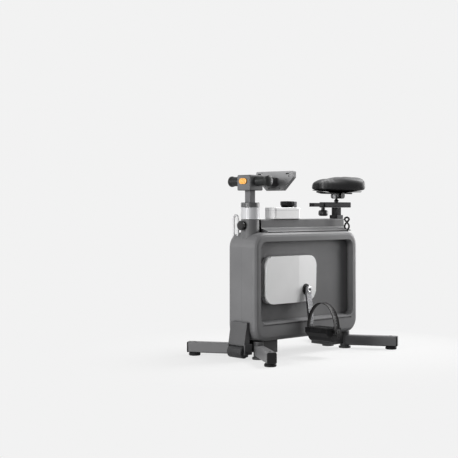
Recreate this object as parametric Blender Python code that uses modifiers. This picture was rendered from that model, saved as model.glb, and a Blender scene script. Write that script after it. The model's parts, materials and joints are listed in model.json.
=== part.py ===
"""Desk exercise bike: a slim pedal unit with saddle, console and resistance dial.

Metres. +X is the rider's left, -Y the front, +Z up, origin on the floor at the centre.
"""

import math

import bmesh
import bpy
from mathutils import Matrix, Vector

# Fits and walls
GAP = 0.0003
SLIDE_FIT = 0.0005
TURN_FIT = 0.0004
SHELL_WALL = 0.003

# Body shell, two halves that meet at x = 0
BODY_HALF_LENGTH = 0.325
BODY_HALF_WIDTH = 0.0835
BODY_BOTTOM = 0.0745
BODY_TOP = 0.527
BODY_CORNER = 0.062
BODY_EDGE = 0.018
RECESS_HALF_LENGTH = BODY_HALF_LENGTH - 0.032
RECESS_BOTTOM = BODY_BOTTOM + 0.0725
RECESS_TOP = BODY_TOP - 0.037
RECESS_CORNER = 0.030
RECESS_DEPTH = 0.0335
LEDGE_RISE = 0.0095
GROOVE_TOP = RECESS_BOTTOM - 0.0035
GROOVE_HEIGHT = 0.005
GROOVE_DEPTH = 0.004

# Uprights: neck at the front, seat column at the rear
UPRIGHT_Y = BODY_HALF_LENGTH - 0.050
POST_HALF = 0.016
MAST_WALL = 0.004

# Top beam
BEAM_HALF_WIDTH = 0.025
BEAM_TOP = BODY_TOP + 0.055
BEAM_SIDE_BOTTOM = BODY_TOP + 0.017
BEAM_REAR = UPRIGHT_Y + 0.022
SHOULDER_HALF_WIDTH = 0.068
SHOULDER_BOTTOM = BODY_TOP + 0.0015

# Neck
SOCKET_RADIUS = 0.0385
SOCKET_TOP = BODY_TOP + 0.056
SLEEVE_RADIUS = 0.0395
SLEEVE_TOP = SOCKET_TOP + 0.049
COLLAR_TOP = SLEEVE_TOP + 0.021
NECK_KNOB_RADIUS = 0.020
NECK_KNOB_Z = SOCKET_TOP - 0.026
NECK_KNOB_DEPTH = 0.022

# Handlebar head
POST_BOTTOM = BODY_TOP - 0.127
HEAD_HALF = 0.040
HEAD_BOTTOM = COLLAR_TOP + 0.050
HEAD_TOP = HEAD_BOTTOM + 0.064
GRIP_RADIUS = 0.0235
GRIP_WAIST = 0.0205
GRIP_END = 0.120
GRIP_Z = HEAD_BOTTOM + 0.039
BUTTON_HALF_WIDTH = 0.0215
BUTTON_HALF_HEIGHT = 0.012
BUTTON_X = 0.0
BUTTON_OUT = 0.004
BUTTON_DEEP = 0.010
ARM_HALF_WIDTH = 0.020
ARM_BOTTOM = GRIP_Z - 0.020
ARM_TOP = GRIP_Z + 0.016

# Console panel
PANEL_FRONT = 0.145 - UPRIGHT_Y
PANEL_THICK = 0.020
PANEL_HALF_WIDTH = 0.110
PANEL_TOP = GRIP_Z + 0.045
PANEL_BOTTOM = PANEL_TOP - 0.083
PANEL_END = PANEL_TOP - 0.030
PANEL_FLAT = PANEL_HALF_WIDTH - 0.061
SLOT_INNER = PANEL_HALF_WIDTH - 0.041
SLOT_OUTER = PANEL_HALF_WIDTH - 0.010
SLOT_Z = PANEL_TOP - 0.011
SLOT_HEIGHT = 0.006

# Control pod and dial
POD_FRONT = -0.160
POD_REAR = 0.0035
POD_HALF_WIDTH = 0.033
POD_TOP = BEAM_TOP + 0.050
POD_CORNER = 0.012
DIAL_Y = -0.049
DIAL_RADIUS = 0.030
DIAL_FOOT_RADIUS = 0.025
DIAL_TOP = POD_TOP + 0.027
DIAL_RIBS = 16
DIAL_STEM_RADIUS = 0.005
DIAL_STEM_LENGTH = 0.030
LUG_REACH = 0.041
LUG_ANGLE = 46.7

# Seat column and slide
SEAT_POST_BOTTOM = BODY_TOP - 0.227
SEAT_FLANGE_HALF = 0.023
SEAT_FLANGE_TOP = BEAM_TOP + 0.016
RAIL_BOTTOM = SEAT_FLANGE_TOP + 0.034
RAIL_TOP = RAIL_BOTTOM + 0.024
RAIL_HALF_WIDTH = 0.018
RAIL_FRONT = UPRIGHT_Y - 0.095
RAIL_REAR = UPRIGHT_Y + 0.080
RAIL_WALL = 0.003
SLIDER_FRONT = UPRIGHT_Y - 0.167
SLIDER_REAR = UPRIGHT_Y + 0.043
SEAT_TRAVEL = 0.030
SLIDER_KNOB_Y = UPRIGHT_Y - 0.100
SLIDER_KNOB_RADIUS = 0.022
SLIDER_KNOB_BOTTOM = RAIL_BOTTOM - 0.038
SLIDER_KNOB_TOP = RAIL_BOTTOM - 0.012
SLIDER_NECK_RADIUS = 0.009

# Saddle
SADDLE_POST_RADIUS = 0.0095
SADDLE_POST_TOP = RAIL_TOP + 0.016
TILT_Z = SADDLE_POST_TOP + 0.010
TILT_RADIUS = 0.008
TILT_HALF_LENGTH = 0.013
TILT_NECK_RADIUS = 0.0065
CLAMP_CHEEK_RADIUS = 0.0135
CLAMP_HALF_WIDTH = 0.031
SADDLE_RAIL_X = 0.022
SADDLE_RAIL_RADIUS = 0.0035
SADDLE_RAIL_Z = TILT_Z + 0.015
SADDLE_NOSE = UPRIGHT_Y - 0.150
SADDLE_TAIL = UPRIGHT_Y + 0.121

# Carry loops
LOOP_RADIUS = 0.0055
FRONT_LOOP_Y = 0.028 - BODY_HALF_LENGTH
REAR_LOOP_Y = BODY_HALF_LENGTH - 0.050

# Base
LEG_TOP = 0.0585
LEG_BOTTOM = 0.0135
LEG_WIDTH = 0.040
LEG_WALL = 0.0025
HUB_X = 0.050
HUB_Y = BODY_HALF_LENGTH - 0.0505
FOOT_X = 0.2265
FOOT_Y = HUB_Y + 0.110
LEG_PAST_FOOT = 0.030
END_CAP = 0.006
END_PLUG = 0.008
BARREL_RADIUS = 0.021
BARREL_FLANGE_RADIUS = 0.027
BARREL_FLANGE_HEIGHT = 0.008
HUB_BLOCK_HALF = 0.057
HUB_BLOCK_NEAR = HUB_Y - 0.1095
HUB_BLOCK_FAR = HUB_Y - 0.0245
HUB_BLOCK_BOTTOM = 0.020
GLIDE_RADIUS = 0.025
GLIDE_STEM_RADIUS = 0.005
GLIDE_STEM_LENGTH = 0.026

# Front roller
BRACKET_TOP = 0.156
BRACKET_TOP_Y = -BODY_HALF_LENGTH - 0.015
BRACKET_LOW_Y = -BODY_HALF_LENGTH - 0.030
BRACKET_FOOT = 0.067
BRACKET_HALF_WIDTH = 0.048
FORK_HALF_WIDTH = 0.051
FORK_WALL = 0.006
FORK_BOTTOM = 0.023
ROLLER_Y = -BODY_HALF_LENGTH - 0.022
ROLLER_Z = 0.033
ROLLER_RADIUS = 0.025
ROLLER_HALF_LENGTH = 0.042
ROLLER_PIN_RADIUS = 0.005

# Drive covers
COVER_OUT = 0.082
COVER_TAPER_OUT = 0.076
COVER_FRONT = 0.063 - BODY_HALF_LENGTH
COVER_REAR = 0.0565
COVER_BOTTOM = 0.2265
COVER_TOP = 0.4255
COVER_CORNER = 0.045
COVER_CREASE_Y = -0.060
COVER_EDGE = 0.005
COVER_WALL = 0.0025

# Crank and pedals
CRANK_Y = -0.016
CRANK_Z = 0.280
CRANK_LENGTH = 0.1685
CRANK_LEAN = 1.0
AXLE_RADIUS = 0.010
ARM_IN = 0.0875
ARM_THICK = 0.012
ARM_OFFSET = 0.011
ARM_BOSS_RADIUS = 0.0155
ARM_TIP_RADIUS = 0.0105
RING_RADIUS = 0.0245
RING_THICK = 0.003
PEDAL_IN = 0.1155
PEDAL_OUT = 0.235
PEDAL_HALF_LENGTH = 0.047
PEDAL_TOP = 0.012
PEDAL_BOTTOM = -0.026
PEDAL_KEEL = -0.045
SPINDLE_RADIUS = 0.006
STRAP_INNER_HALF = 0.009
STRAP_OUTER_HALF = 0.020
STRAP_INNER_Y = -0.024
STRAP_OUTER_Y = 0.010
STRAP_THICK = 0.003
STRAP_INNER_X = 0.1122
STRAP_OUTER_X = 0.250
STRAP_APEX = 0.118
STRAP_TAB_Z = -0.0155

# Inner drive
PULLEY_RADIUS = 0.080
PULLEY_HALF = 0.008
PULLEY_X = -0.014
BELT_THICK = 0.0025
MAGNET_PIVOT_Z = POST_BOTTOM - 0.048
FLYWHEEL_Y = 0.095 - UPRIGHT_Y
FLYWHEEL_Z = MAGNET_PIVOT_Z - 0.102
FLYWHEEL_RADIUS = 0.080
FLYWHEEL_HALF = 0.012
FLYWHEEL_X = 0.014
FLYWHEEL_AXLE_RADIUS = 0.006
SMALL_PULLEY_RADIUS = 0.020
PLATE_IN = 0.034
PLATE_THICK = 0.004
BEARING_WALL = 0.006
BEARING_HALF = 0.0035
MAGNET_PIVOT_Y = FLYWHEEL_Y + 0.085
MAGNET_PIN_RADIUS = 0.004

PARTS = bpy.data.collections.new("desk_exercise_bike")
CUTTERS = bpy.data.collections.new("cutters")


def clear_scene():
    for obj in list(bpy.data.objects):
        bpy.data.objects.remove(obj, do_unlink=True)
    bpy.context.scene.collection.children.link(PARTS)
    bpy.context.scene.collection.children.link(CUTTERS)
    CUTTERS.hide_render = True


# Materials


def linear(channel):
    if channel <= 0.04045:
        return channel / 12.92
    return ((channel + 0.055) / 1.055) ** 2.4


def material(name, colour, roughness, metallic=0.0):
    found = bpy.data.materials.get(name)
    if found:
        return found
    made = bpy.data.materials.new(name)
    made.use_nodes = True
    shader = made.node_tree.nodes["Principled BSDF"]
    red, green, blue = (linear(value / 255.0) for value in colour)
    shader.inputs["Base Color"].default_value = (red, green, blue, 1.0)
    shader.inputs["Roughness"].default_value = roughness
    shader.inputs["Metallic"].default_value = metallic
    made.diffuse_color = (red, green, blue, 1.0)
    return made


def shell_grey():
    return material("shell_grey", (112, 112, 114), 0.55)


def frame_grey():
    return material("frame_grey", (104, 104, 106), 0.45)


def dark_grey():
    return material("dark_grey", (64, 64, 66), 0.5)


def cover_white():
    return material("cover_white", (222, 222, 222), 0.4)


def soft_black():
    return material("soft_black", (24, 24, 25), 0.6)


def rubber_black():
    return material("rubber_black", (18, 18, 18), 0.8)


def saddle_black():
    return material("saddle_black", (46, 46, 48), 0.6)


def steel():
    return material("steel", (196, 196, 198), 0.3, 1.0)


def cast_iron():
    return material("cast_iron", (70, 70, 72), 0.6, 1.0)


def accent_orange():
    return material("accent_orange", (232, 168, 58), 0.45)


# Placing


def pivot(name, at, parent=None):
    made = bpy.data.objects.new(name, None)
    made.empty_display_size = 0.03
    PARTS.objects.link(made)
    made["world"] = tuple(at)
    offset = Vector(at)
    if parent:
        made.parent = parent
        offset -= Vector(parent["world"])
    made.location = offset
    return made


def place(obj, at, holder=None):
    """Sets the object's world position, through the empty that carries it."""
    obj.location = Vector(at)
    if holder:
        obj.parent = holder
        obj.location = Vector(at) - Vector(holder["world"])


def new_object(name, data, paint=None, cutter=False):
    made = bpy.data.objects.new(name, data)
    if cutter:
        CUTTERS.objects.link(made)
        made.display_type = "WIRE"
    else:
        PARTS.objects.link(made)
    if paint:
        data.materials.append(paint)
    return made


def from_bmesh(name, bm, paint=None, cutter=False, at=(0, 0, 0), holder=None):
    """Turns bm, drawn in world space, into an object whose origin is at."""
    bmesh.ops.translate(bm, vec=-Vector(at), verts=bm.verts)
    mesh = bpy.data.meshes.new(name)
    bm.to_mesh(mesh)
    bm.free()
    made = new_object(name, mesh, paint, cutter)
    place(made, at, holder)
    return made


# Shapes, drawn in world space


def add_block(bm, x, y, z):
    verts = bmesh.ops.create_cube(bm, size=1.0)["verts"]
    size = (x[1] - x[0], y[1] - y[0], z[1] - z[0])
    middle = ((x[0] + x[1]) / 2, (y[0] + y[1]) / 2, (z[0] + z[1]) / 2)
    bmesh.ops.scale(bm, vec=size, verts=verts)
    bmesh.ops.translate(bm, vec=middle, verts=verts)
    return verts


def turned_to(axis):
    if axis == "X":
        return Matrix.Rotation(math.pi / 2, 3, "Y")
    if axis == "Y":
        return Matrix.Rotation(math.pi / 2, 3, "X")
    return Matrix.Identity(3)


def add_rod(bm, axis, middle, radius, length, sides=24, end_radius=None):
    """A cylinder or cone along axis; end_radius is at its +X, -Y or +Z end."""
    far = radius if end_radius is None else end_radius
    verts = bmesh.ops.create_cone(
        bm, cap_ends=True, segments=sides, radius1=radius, radius2=far, depth=length
    )["verts"]
    bmesh.ops.rotate(bm, cent=(0, 0, 0), matrix=turned_to(axis), verts=verts)
    bmesh.ops.translate(bm, vec=middle, verts=verts)
    return verts


def edges_along(verts, axis):
    """The edges between verts that run along axis (0, 1 or 2)."""
    chosen = set()
    for vert in verts:
        for edge in vert.link_edges:
            run = edge.verts[1].co - edge.verts[0].co
            if abs(run[axis]) > 0.999 * run.length:
                chosen.add(edge)
    return list(chosen)


def rounded_block(bm, x, y, z, corner, along=0, segments=6):
    """A block whose four edges that run along one axis are rounded."""
    verts = add_block(bm, x, y, z)
    edges = edges_along(verts, along)
    bmesh.ops.bevel(
        bm, geom=edges, offset=corner, segments=segments, profile=0.5, affect="EDGES"
    )


def block_object(name, x, y, z, paint=None, cutter=False, at=(0, 0, 0), holder=None):
    bm = bmesh.new()
    add_block(bm, x, y, z)
    return from_bmesh(name, bm, paint, cutter, at, holder)


def rod_object(
    name, axis, middle, radius, length, paint=None, cutter=False, holder=None, sides=24
):
    bm = bmesh.new()
    add_rod(bm, axis, middle, radius, length, sides)
    return from_bmesh(name, bm, paint, cutter, middle, holder)


def turned(name, profile, at, axis, paint=None, cutter=False, holder=None, steps=24):
    """Revolves (radius, height) points, top to bottom, about an axis through at."""
    bm = bmesh.new()
    verts = [bm.verts.new((radius, 0.0, height)) for radius, height in profile]
    for one, two in zip(verts, verts[1:]):
        bm.edges.new((one, two))
    made = from_bmesh(name, bm, paint, cutter)
    screw = made.modifiers.new("turn", "SCREW")
    screw.steps = steps
    screw.render_steps = steps
    screw.use_merge_vertices = True
    screw.merge_threshold = 0.00001
    place(made, at, holder)
    if axis == "X":
        made.rotation_euler = (0.0, math.pi / 2, 0.0)
    if axis == "-X":
        made.rotation_euler = (0.0, -math.pi / 2, 0.0)
    if axis == "-Y":
        made.rotation_euler = (math.pi / 2, 0.0, 0.0)
    return made


def outline_mesh(name, loops, thickness):
    """Fills flat (u, v) loops, gives them thickness along +w and returns the mesh."""
    curve = bpy.data.curves.new(name, "CURVE")
    curve.dimensions = "2D"
    curve.fill_mode = "BOTH"
    curve.extrude = thickness / 2
    for loop in loops:
        spline = curve.splines.new("POLY")
        spline.points.add(len(loop) - 1)
        for point, (u, v) in zip(spline.points, loop):
            point.co = (u, v, 0.0, 1.0)
        spline.use_cyclic_u = True
    holder = bpy.data.objects.new(name + "_outline", curve)
    CUTTERS.objects.link(holder)
    graph = bpy.context.evaluated_depsgraph_get()
    mesh = bpy.data.meshes.new_from_object(holder.evaluated_get(graph))
    bpy.data.objects.remove(holder, do_unlink=True)
    bm = bmesh.new()
    bm.from_mesh(mesh)
    bmesh.ops.remove_doubles(bm, verts=bm.verts, dist=0.00001)
    bmesh.ops.translate(bm, vec=(0, 0, thickness / 2), verts=bm.verts)
    return bm


SIDE_VIEW = Matrix(((0, 0, 1), (1, 0, 0), (0, 1, 0)))
FRONT_VIEW = Matrix(((1, 0, 0), (0, 0, -1), (0, 1, 0)))


def plate(name, loops, start, thickness, view, paint=None, cutter=False, at=(0, 0, 0),
          holder=None):
    """An outlined plate. Side view: loops are (y, z), it starts at x = start and goes to +X.

    Front view: loops are (x, z), it starts at y = start and goes to -Y.
    """
    bm = outline_mesh(name, loops, thickness)
    bmesh.ops.transform(bm, matrix=view.to_4x4(), verts=bm.verts)
    shift = (start, 0, 0) if view is SIDE_VIEW else (0, start, 0)
    bmesh.ops.translate(bm, vec=shift, verts=bm.verts)
    bmesh.ops.recalc_face_normals(bm, faces=bm.faces)
    return from_bmesh(name, bm, paint, cutter, at, holder)


def arc(centre, radius, start, end, steps):
    """Points on a circle between two angles in degrees."""
    points = []
    for step in range(steps + 1):
        angle = math.radians(start + (end - start) * step / steps)
        points.append((centre[0] + radius * math.cos(angle), centre[1] + radius * math.sin(angle)))
    return points


def rounded_loop(left, right, low, high, corner, steps=5):
    loop = arc((right - corner, high - corner), corner, 0, 90, steps)
    loop += arc((left + corner, high - corner), corner, 90, 180, steps)
    loop += arc((left + corner, low + corner), corner, 180, 270, steps)
    loop += arc((right - corner, low + corner), corner, 270, 360, steps)
    return loop


# Modifiers


def cut(obj, *tools):
    for tool in tools:
        step = obj.modifiers.new("cut_" + tool.name, "BOOLEAN")
        step.operation = "DIFFERENCE"
        step.solver = "EXACT"
        step.object = tool


def join(obj, *tools):
    for tool in tools:
        step = obj.modifiers.new("join_" + tool.name, "BOOLEAN")
        step.operation = "UNION"
        step.solver = "EXACT"
        step.object = tool


def keep(obj, tool):
    """Leaves only what lies inside the tool."""
    step = obj.modifiers.new("keep_" + tool.name, "BOOLEAN")
    step.operation = "INTERSECT"
    step.solver = "EXACT"
    step.object = tool


def soften(obj, width, segments=2, angle=35.0):
    step = obj.modifiers.new("soften", "BEVEL")
    step.width = width
    step.segments = segments
    step.limit_method = "ANGLE"
    step.angle_limit = math.radians(angle)
    step.use_clamp_overlap = True
    step.harden_normals = False
    return obj


def smooth(obj, angle=35.0):
    mesh = obj.data
    mesh.shade_smooth()
    mesh.set_sharp_from_angle(angle=math.radians(angle))
    return obj


# Body shell


def body_solid(name, shrink, cutter=True, paint=None):
    """The body's whole outer form, made smaller all round by shrink."""
    bm = bmesh.new()
    half = BODY_HALF_LENGTH - shrink
    width = BODY_HALF_WIDTH - shrink
    verts = add_block(bm, (-width, width), (-half, half), (BODY_BOTTOM + shrink, BODY_TOP - shrink))
    bmesh.ops.bevel(
        bm,
        geom=edges_along(verts, 0),
        offset=BODY_CORNER - shrink,
        segments=6,
        profile=0.5,
        affect="EDGES",
    )
    sides = [face for face in bm.faces if abs(face.normal.x) > 0.99]
    rims = {edge for face in sides for edge in face.edges}
    bmesh.ops.bevel(
        bm,
        geom=list(rims),
        offset=BODY_EDGE - shrink,
        segments=3,
        profile=0.5,
        affect="EDGES",
    )
    return from_bmesh(name, bm, paint, cutter)


def recess_block(name, grow, depth_grow, side):
    """The side recess as a block that runs out past the shell, its lower ledge sloping inward."""
    bm = bmesh.new()
    floor = BODY_HALF_WIDTH - RECESS_DEPTH - depth_grow
    past = BODY_HALF_WIDTH + 0.02
    reach = (floor, past) if side > 0 else (-past, -floor)
    rounded_block(
        bm,
        reach,
        (-RECESS_HALF_LENGTH - grow, RECESS_HALF_LENGTH + grow),
        (RECESS_BOTTOM - grow, RECESS_TOP + grow),
        RECESS_CORNER + grow,
        segments=4,
    )
    low = RECESS_BOTTOM - grow
    for vert in bm.verts:
        out = (abs(vert.co.x) - floor) / (BODY_HALF_WIDTH - floor)
        down = 1.0 - (vert.co.z - low) / (RECESS_CORNER + grow)
        if down > 0.0:
            vert.co.z += LEDGE_RISE * down * (1.0 - out)
    bmesh.ops.triangulate(bm, faces=bm.faces)
    return from_bmesh(name, bm, cutter=True)


def groove_block(name, grow, side):
    """The shadow groove that runs below the recess."""
    near = BODY_HALF_WIDTH - GROOVE_DEPTH - grow
    past = BODY_HALF_WIDTH + 0.02
    reach = (near, past) if side > 0 else (-past, -near)
    half = RECESS_HALF_LENGTH - RECESS_CORNER * 0.4 + grow
    height = (GROOVE_TOP - GROOVE_HEIGHT - grow, GROOVE_TOP + grow)
    return block_object(name, reach, (-half, half), height, cutter=True)


def shell_openings():
    """Cutters shared by both halves."""
    top = BODY_TOP
    column = block_object(
        "opening_column",
        (-POST_HALF - 0.001, POST_HALF + 0.001),
        (UPRIGHT_Y - POST_HALF - 0.001, UPRIGHT_Y + POST_HALF + 0.001),
        (top - 0.04, top + 0.01),
        cutter=True,
    )
    neck = block_object(
        "opening_neck",
        (-POST_HALF - 0.001, POST_HALF + 0.001),
        (-UPRIGHT_Y - POST_HALF - 0.001, -UPRIGHT_Y + POST_HALF + 0.001),
        (top - 0.04, top + 0.01),
        cutter=True,
    )
    axle = rod_object(
        "opening_axle",
        "X",
        (0, CRANK_Y, CRANK_Z),
        AXLE_RADIUS + 0.004,
        2 * BODY_HALF_WIDTH + 0.02,
        cutter=True,
    )
    return column, neck, axle


def make_shell():
    openings = shell_openings()
    for side, name in ((1, "shell_left"), (-1, "shell_right")):
        half = body_solid(name, 0.0, cutter=False, paint=shell_grey())
        cavity = body_solid(name + "_cavity", SHELL_WALL)
        pan = recess_block(name + "_pan", SHELL_WALL, SHELL_WALL, side)
        cut(cavity, pan, groove_block(name + "_groove_pan", SHELL_WALL, side))
        recess = recess_block(name + "_recess", 0.0, 0.0, side)
        groove = groove_block(name + "_groove", 0.0, side)
        away = block_object(
            name + "_other_half",
            (-0.2, GAP / 2) if side > 0 else (-GAP / 2, 0.2),
            (-0.5, 0.5),
            (-0.1, 0.7),
            cutter=True,
        )
        cut(half, cavity, recess, groove, away, *openings)
        smooth(half)


def square_hole(name, y, low, high):
    reach = POST_HALF + SLIDE_FIT
    return block_object(name, (-reach, reach), (y - reach, y + reach), (low, high), cutter=True)


def make_core_frame():
    """Bottom beam with the rear mast and blocks, and the neck mast held by the side plates."""
    mast = POST_HALF + SLIDE_FIT + MAST_WALL
    low = BODY_BOTTOM + SHELL_WALL + GAP
    high = BODY_TOP - SHELL_WALL - GAP
    beam_top = low + 0.022
    inner = PLATE_IN - GAP
    reach = UPRIGHT_Y - 0.015
    frame = block_object(
        "core_frame", (-0.020, 0.020), (-reach, reach), (low, beam_top), frame_grey()
    )
    strut = block_object(
        "join_front_strut",
        (-0.012, 0.012),
        (-UPRIGHT_Y - 0.014, -UPRIGHT_Y + 0.009),
        (low + 0.012, POST_BOTTOM - 0.055),
        cutter=True,
    )
    toe = block_object(
        "join_front_toe",
        (-0.012, 0.012),
        (-UPRIGHT_Y - 0.011, -UPRIGHT_Y + 0.025),
        (low + 0.010, beam_top),
        cutter=True,
    )
    rear = block_object(
        "join_rear_mast",
        (-mast, mast),
        (UPRIGHT_Y - mast, UPRIGHT_Y + mast),
        (low + 0.014, high - 0.016),
        cutter=True,
    )
    foot_front = block_object(
        "join_front_foot",
        (-inner, inner),
        (-UPRIGHT_Y + 0.060, -UPRIGHT_Y + 0.110),
        (low, low + 0.045),
        cutter=True,
    )
    foot_rear = block_object(
        "join_rear_foot",
        (-inner, inner),
        (CRANK_Y + 0.026, CRANK_Y + 0.066),
        (low, low + 0.045),
        cutter=True,
    )
    front = block_object(
        "join_neck_mast",
        (-mast, mast),
        (-UPRIGHT_Y - mast, -UPRIGHT_Y + mast),
        (POST_BOTTOM - 0.060, high - 0.016),
        cutter=True,
    )
    shoulder = block_object(
        "join_neck_block",
        (-inner, inner),
        (-UPRIGHT_Y - mast + 0.003, -UPRIGHT_Y + mast + 0.010),
        (POST_BOTTOM - 0.040, POST_BOTTOM - 0.015),
        cutter=True,
    )
    holes = (
        square_hole("bore_rear_mast", UPRIGHT_Y, low + 0.030, high + 0.02),
        square_hole("bore_neck_mast", -UPRIGHT_Y, POST_BOTTOM - 0.048, high + 0.02),
    )
    join(frame, rear, foot_front, foot_rear, toe, strut, front, shoulder)
    cut(frame, *holes)
    return frame


def plate_loop():
    """Side plate outline in side view: a wedge that spans both axles and the neck block."""
    return [
        (-UPRIGHT_Y - 0.017, POST_BOTTOM),
        (-UPRIGHT_Y - 0.017, POST_BOTTOM - 0.065),
        (-UPRIGHT_Y + 0.035, BODY_BOTTOM + 0.0255),
        (CRANK_Y + 0.074, BODY_BOTTOM + 0.0255),
        (CRANK_Y + 0.074, CRANK_Z + 0.045),
        (CRANK_Y + 0.036, POST_BOTTOM - 0.025),
        (-UPRIGHT_Y + 0.095, POST_BOTTOM),
    ]


def make_side_plates():
    """Two plates with bearing bosses that carry the crank, the flywheel and the magnet arm."""
    axles = (
        ("crank", CRANK_Y, CRANK_Z, AXLE_RADIUS),
        ("flywheel", FLYWHEEL_Y, FLYWHEEL_Z, FLYWHEEL_AXLE_RADIUS),
        ("magnet", MAGNET_PIVOT_Y, MAGNET_PIVOT_Z, MAGNET_PIN_RADIUS),
    )
    for side, name in ((1, "side_plate_left"), (-1, "side_plate_right")):
        start = PLATE_IN if side > 0 else -PLATE_IN - PLATE_THICK
        made = plate(name, [plate_loop()], start, PLATE_THICK, SIDE_VIEW, frame_grey())
        middle = side * (PLATE_IN + PLATE_THICK / 2)
        bosses = []
        bores = []
        for label, y, z, radius in axles:
            at = (middle, y, z)
            bosses.append(rod_object(
                name + "_boss_" + label, "X", at, radius + BEARING_WALL, 2 * BEARING_HALF,
                cutter=True, sides=20,
            ))
            bores.append(rod_object(
                name + "_bore_" + label, "X", at, radius + TURN_FIT, 0.03, cutter=True, sides=20,
            ))
        join(made, *bosses)
        cut(made, *bores)
        smooth(made)


def beam_loop(grow=0.0):
    """Cross-section (x, z) of the top beam with its sloping shoulders."""
    half = BEAM_HALF_WIDTH + grow
    top = BEAM_TOP + grow
    corner = 0.005
    right = [
        (SHOULDER_HALF_WIDTH - 0.003, BODY_TOP + GAP - 2 * grow),
        (SHOULDER_HALF_WIDTH, SHOULDER_BOTTOM + 0.0015),
        (SHOULDER_HALF_WIDTH - 0.004, SHOULDER_BOTTOM + 0.005),
        (half + 0.003, BEAM_SIDE_BOTTOM - 0.001),
        (half, BEAM_SIDE_BOTTOM + 0.003),
    ]
    right += arc((half - corner, top - corner), corner, 0, 90, 4)
    right = [(x, z + grow) for x, z in right]
    return right + [(-x, z) for x, z in reversed(right)]


def beam_solid(name, grow, paint=None, cutter=False):
    front = -UPRIGHT_Y + SOCKET_RADIUS + 0.002
    rear = BEAM_REAR + grow
    return plate(name, [beam_loop(grow)], rear, rear - front, FRONT_VIEW, paint, cutter)


def make_top_beam():
    beam = beam_solid("top_beam", 0.0, frame_grey())
    cut(beam, square_hole("bore_top_beam", UPRIGHT_Y, BODY_TOP - 0.01, BEAM_TOP + 0.01))
    return beam


def make_seat_flange():
    half = SEAT_FLANGE_HALF
    bm = bmesh.new()
    rounded_block(
        bm,
        (-half, half),
        (UPRIGHT_Y - half, UPRIGHT_Y + half),
        (BEAM_TOP + GAP, SEAT_FLANGE_TOP),
        0.005,
        along=2,
        segments=3,
    )
    flange = from_bmesh("seat_flange", bm, soft_black())
    cut(flange, square_hole("bore_seat_flange", UPRIGHT_Y, BEAM_TOP - 0.01, SEAT_FLANGE_TOP + 0.01))
    return soften(flange, 0.0015)


def make_neck():
    """Socket that grows out of the body's front corner, bright sleeve and dark collar."""
    centre = (0, -UPRIGHT_Y)
    envelope = body_solid("neck_envelope", -GAP)
    bore = square_hole("bore_neck", -UPRIGHT_Y, POST_BOTTOM + 0.05, COLLAR_TOP + 0.05)
    low = BODY_TOP - BODY_CORNER + 0.02
    socket = turned(
        "neck_socket",
        [
            (0.0, SOCKET_TOP),
            (SOCKET_RADIUS - 0.0015, SOCKET_TOP),
            (SOCKET_RADIUS, SOCKET_TOP - 0.0015),
            (SOCKET_RADIUS, low),
            (0.0, low),
        ],
        (centre[0], centre[1], 0),
        "Z",
        frame_grey(),
        steps=36,
    )
    cut(socket, envelope, bore)
    spans = (
        ("neck_sleeve", SOCKET_TOP + GAP, SLEEVE_TOP, steel()),
        ("neck_collar", SLEEVE_TOP + GAP, COLLAR_TOP, dark_grey()),
    )
    for name, bottom, top, paint in spans:
        ring = turned(
            name,
            [
                (0.0, top),
                (SLEEVE_RADIUS - 0.0015, top),
                (SLEEVE_RADIUS, top - 0.0015),
                (SLEEVE_RADIUS, bottom + 0.001),
                (SLEEVE_RADIUS - 0.001, bottom),
                (0.0, bottom),
            ],
            (centre[0], centre[1], 0),
            "Z",
            paint,
            steps=36,
        )
        cut(ring, bore)


def make_pod():
    """Control housing on the beam, with the dial's stem hole."""
    bm = bmesh.new()
    rounded_block(
        bm,
        (-POD_HALF_WIDTH, POD_HALF_WIDTH),
        (POD_FRONT, POD_REAR),
        (BEAM_TOP + GAP, POD_TOP),
        POD_CORNER,
        along=2,
        segments=6,
    )
    pod = from_bmesh("control_pod", bm, cover_white())
    top_depth = DIAL_STEM_LENGTH + 0.004
    stem = rod_object(
        "bore_dial_stem",
        "Z",
        (0, DIAL_Y, POD_TOP - top_depth / 2 + 0.005),
        DIAL_STEM_RADIUS + TURN_FIT,
        top_depth + 0.01,
        cutter=True,
    )
    soften(pod, 0.003, 3, 50.0)
    cut(pod, stem)
    return smooth(pod)


def cover_loop(inset):
    """Drive cover outline in side view: big upper rear corner, tapered lower rear corner."""
    front = COVER_FRONT + inset
    rear = COVER_REAR - inset
    low = COVER_BOTTOM + inset
    top = COVER_TOP - inset
    corner = COVER_CORNER - inset
    loop = arc((rear - corner, top - corner), corner, 0, 90, 6)
    loop += arc((front + corner, top - corner), corner, 90, 180, 6)
    loop += arc((front + corner, low + corner), corner, 180, 270, 6)
    loop += [(COVER_CREASE_Y, low), (rear - 0.040, low + 0.004), (rear - 0.018, low + 0.017)]
    loop += [(rear - 0.004, low + 0.042)]
    return loop


def cover_solid(name, side, inset, back, paint=None, cutter=False):
    """The cover's form with its rear part sloping inward from the crease."""
    out = COVER_OUT - inset
    thickness = out - back
    start = back if side > 0 else -out
    solid = plate(name, [cover_loop(inset)], start, thickness, SIDE_VIEW, paint, cutter)
    slope = (COVER_OUT - COVER_TAPER_OUT) / (COVER_REAR - COVER_CREASE_Y)
    turn = math.atan(slope)
    reach = 0.2
    bm = bmesh.new()
    verts = add_block(bm, (0, 0.05), (0, reach), (COVER_BOTTOM - 0.05, COVER_TOP + 0.05))
    bmesh.ops.rotate(bm, cent=(0, 0, 0), matrix=Matrix.Rotation(turn, 3, "Z"), verts=verts)
    bmesh.ops.translate(bm, vec=(out, COVER_CREASE_Y, 0), verts=verts)
    if side < 0:
        bmesh.ops.scale(bm, vec=(-1, 1, 1), verts=verts)
        bmesh.ops.reverse_faces(bm, faces=bm.faces)
    cut(solid, from_bmesh(name + "_slope", bm, cutter=True))
    return solid


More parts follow.
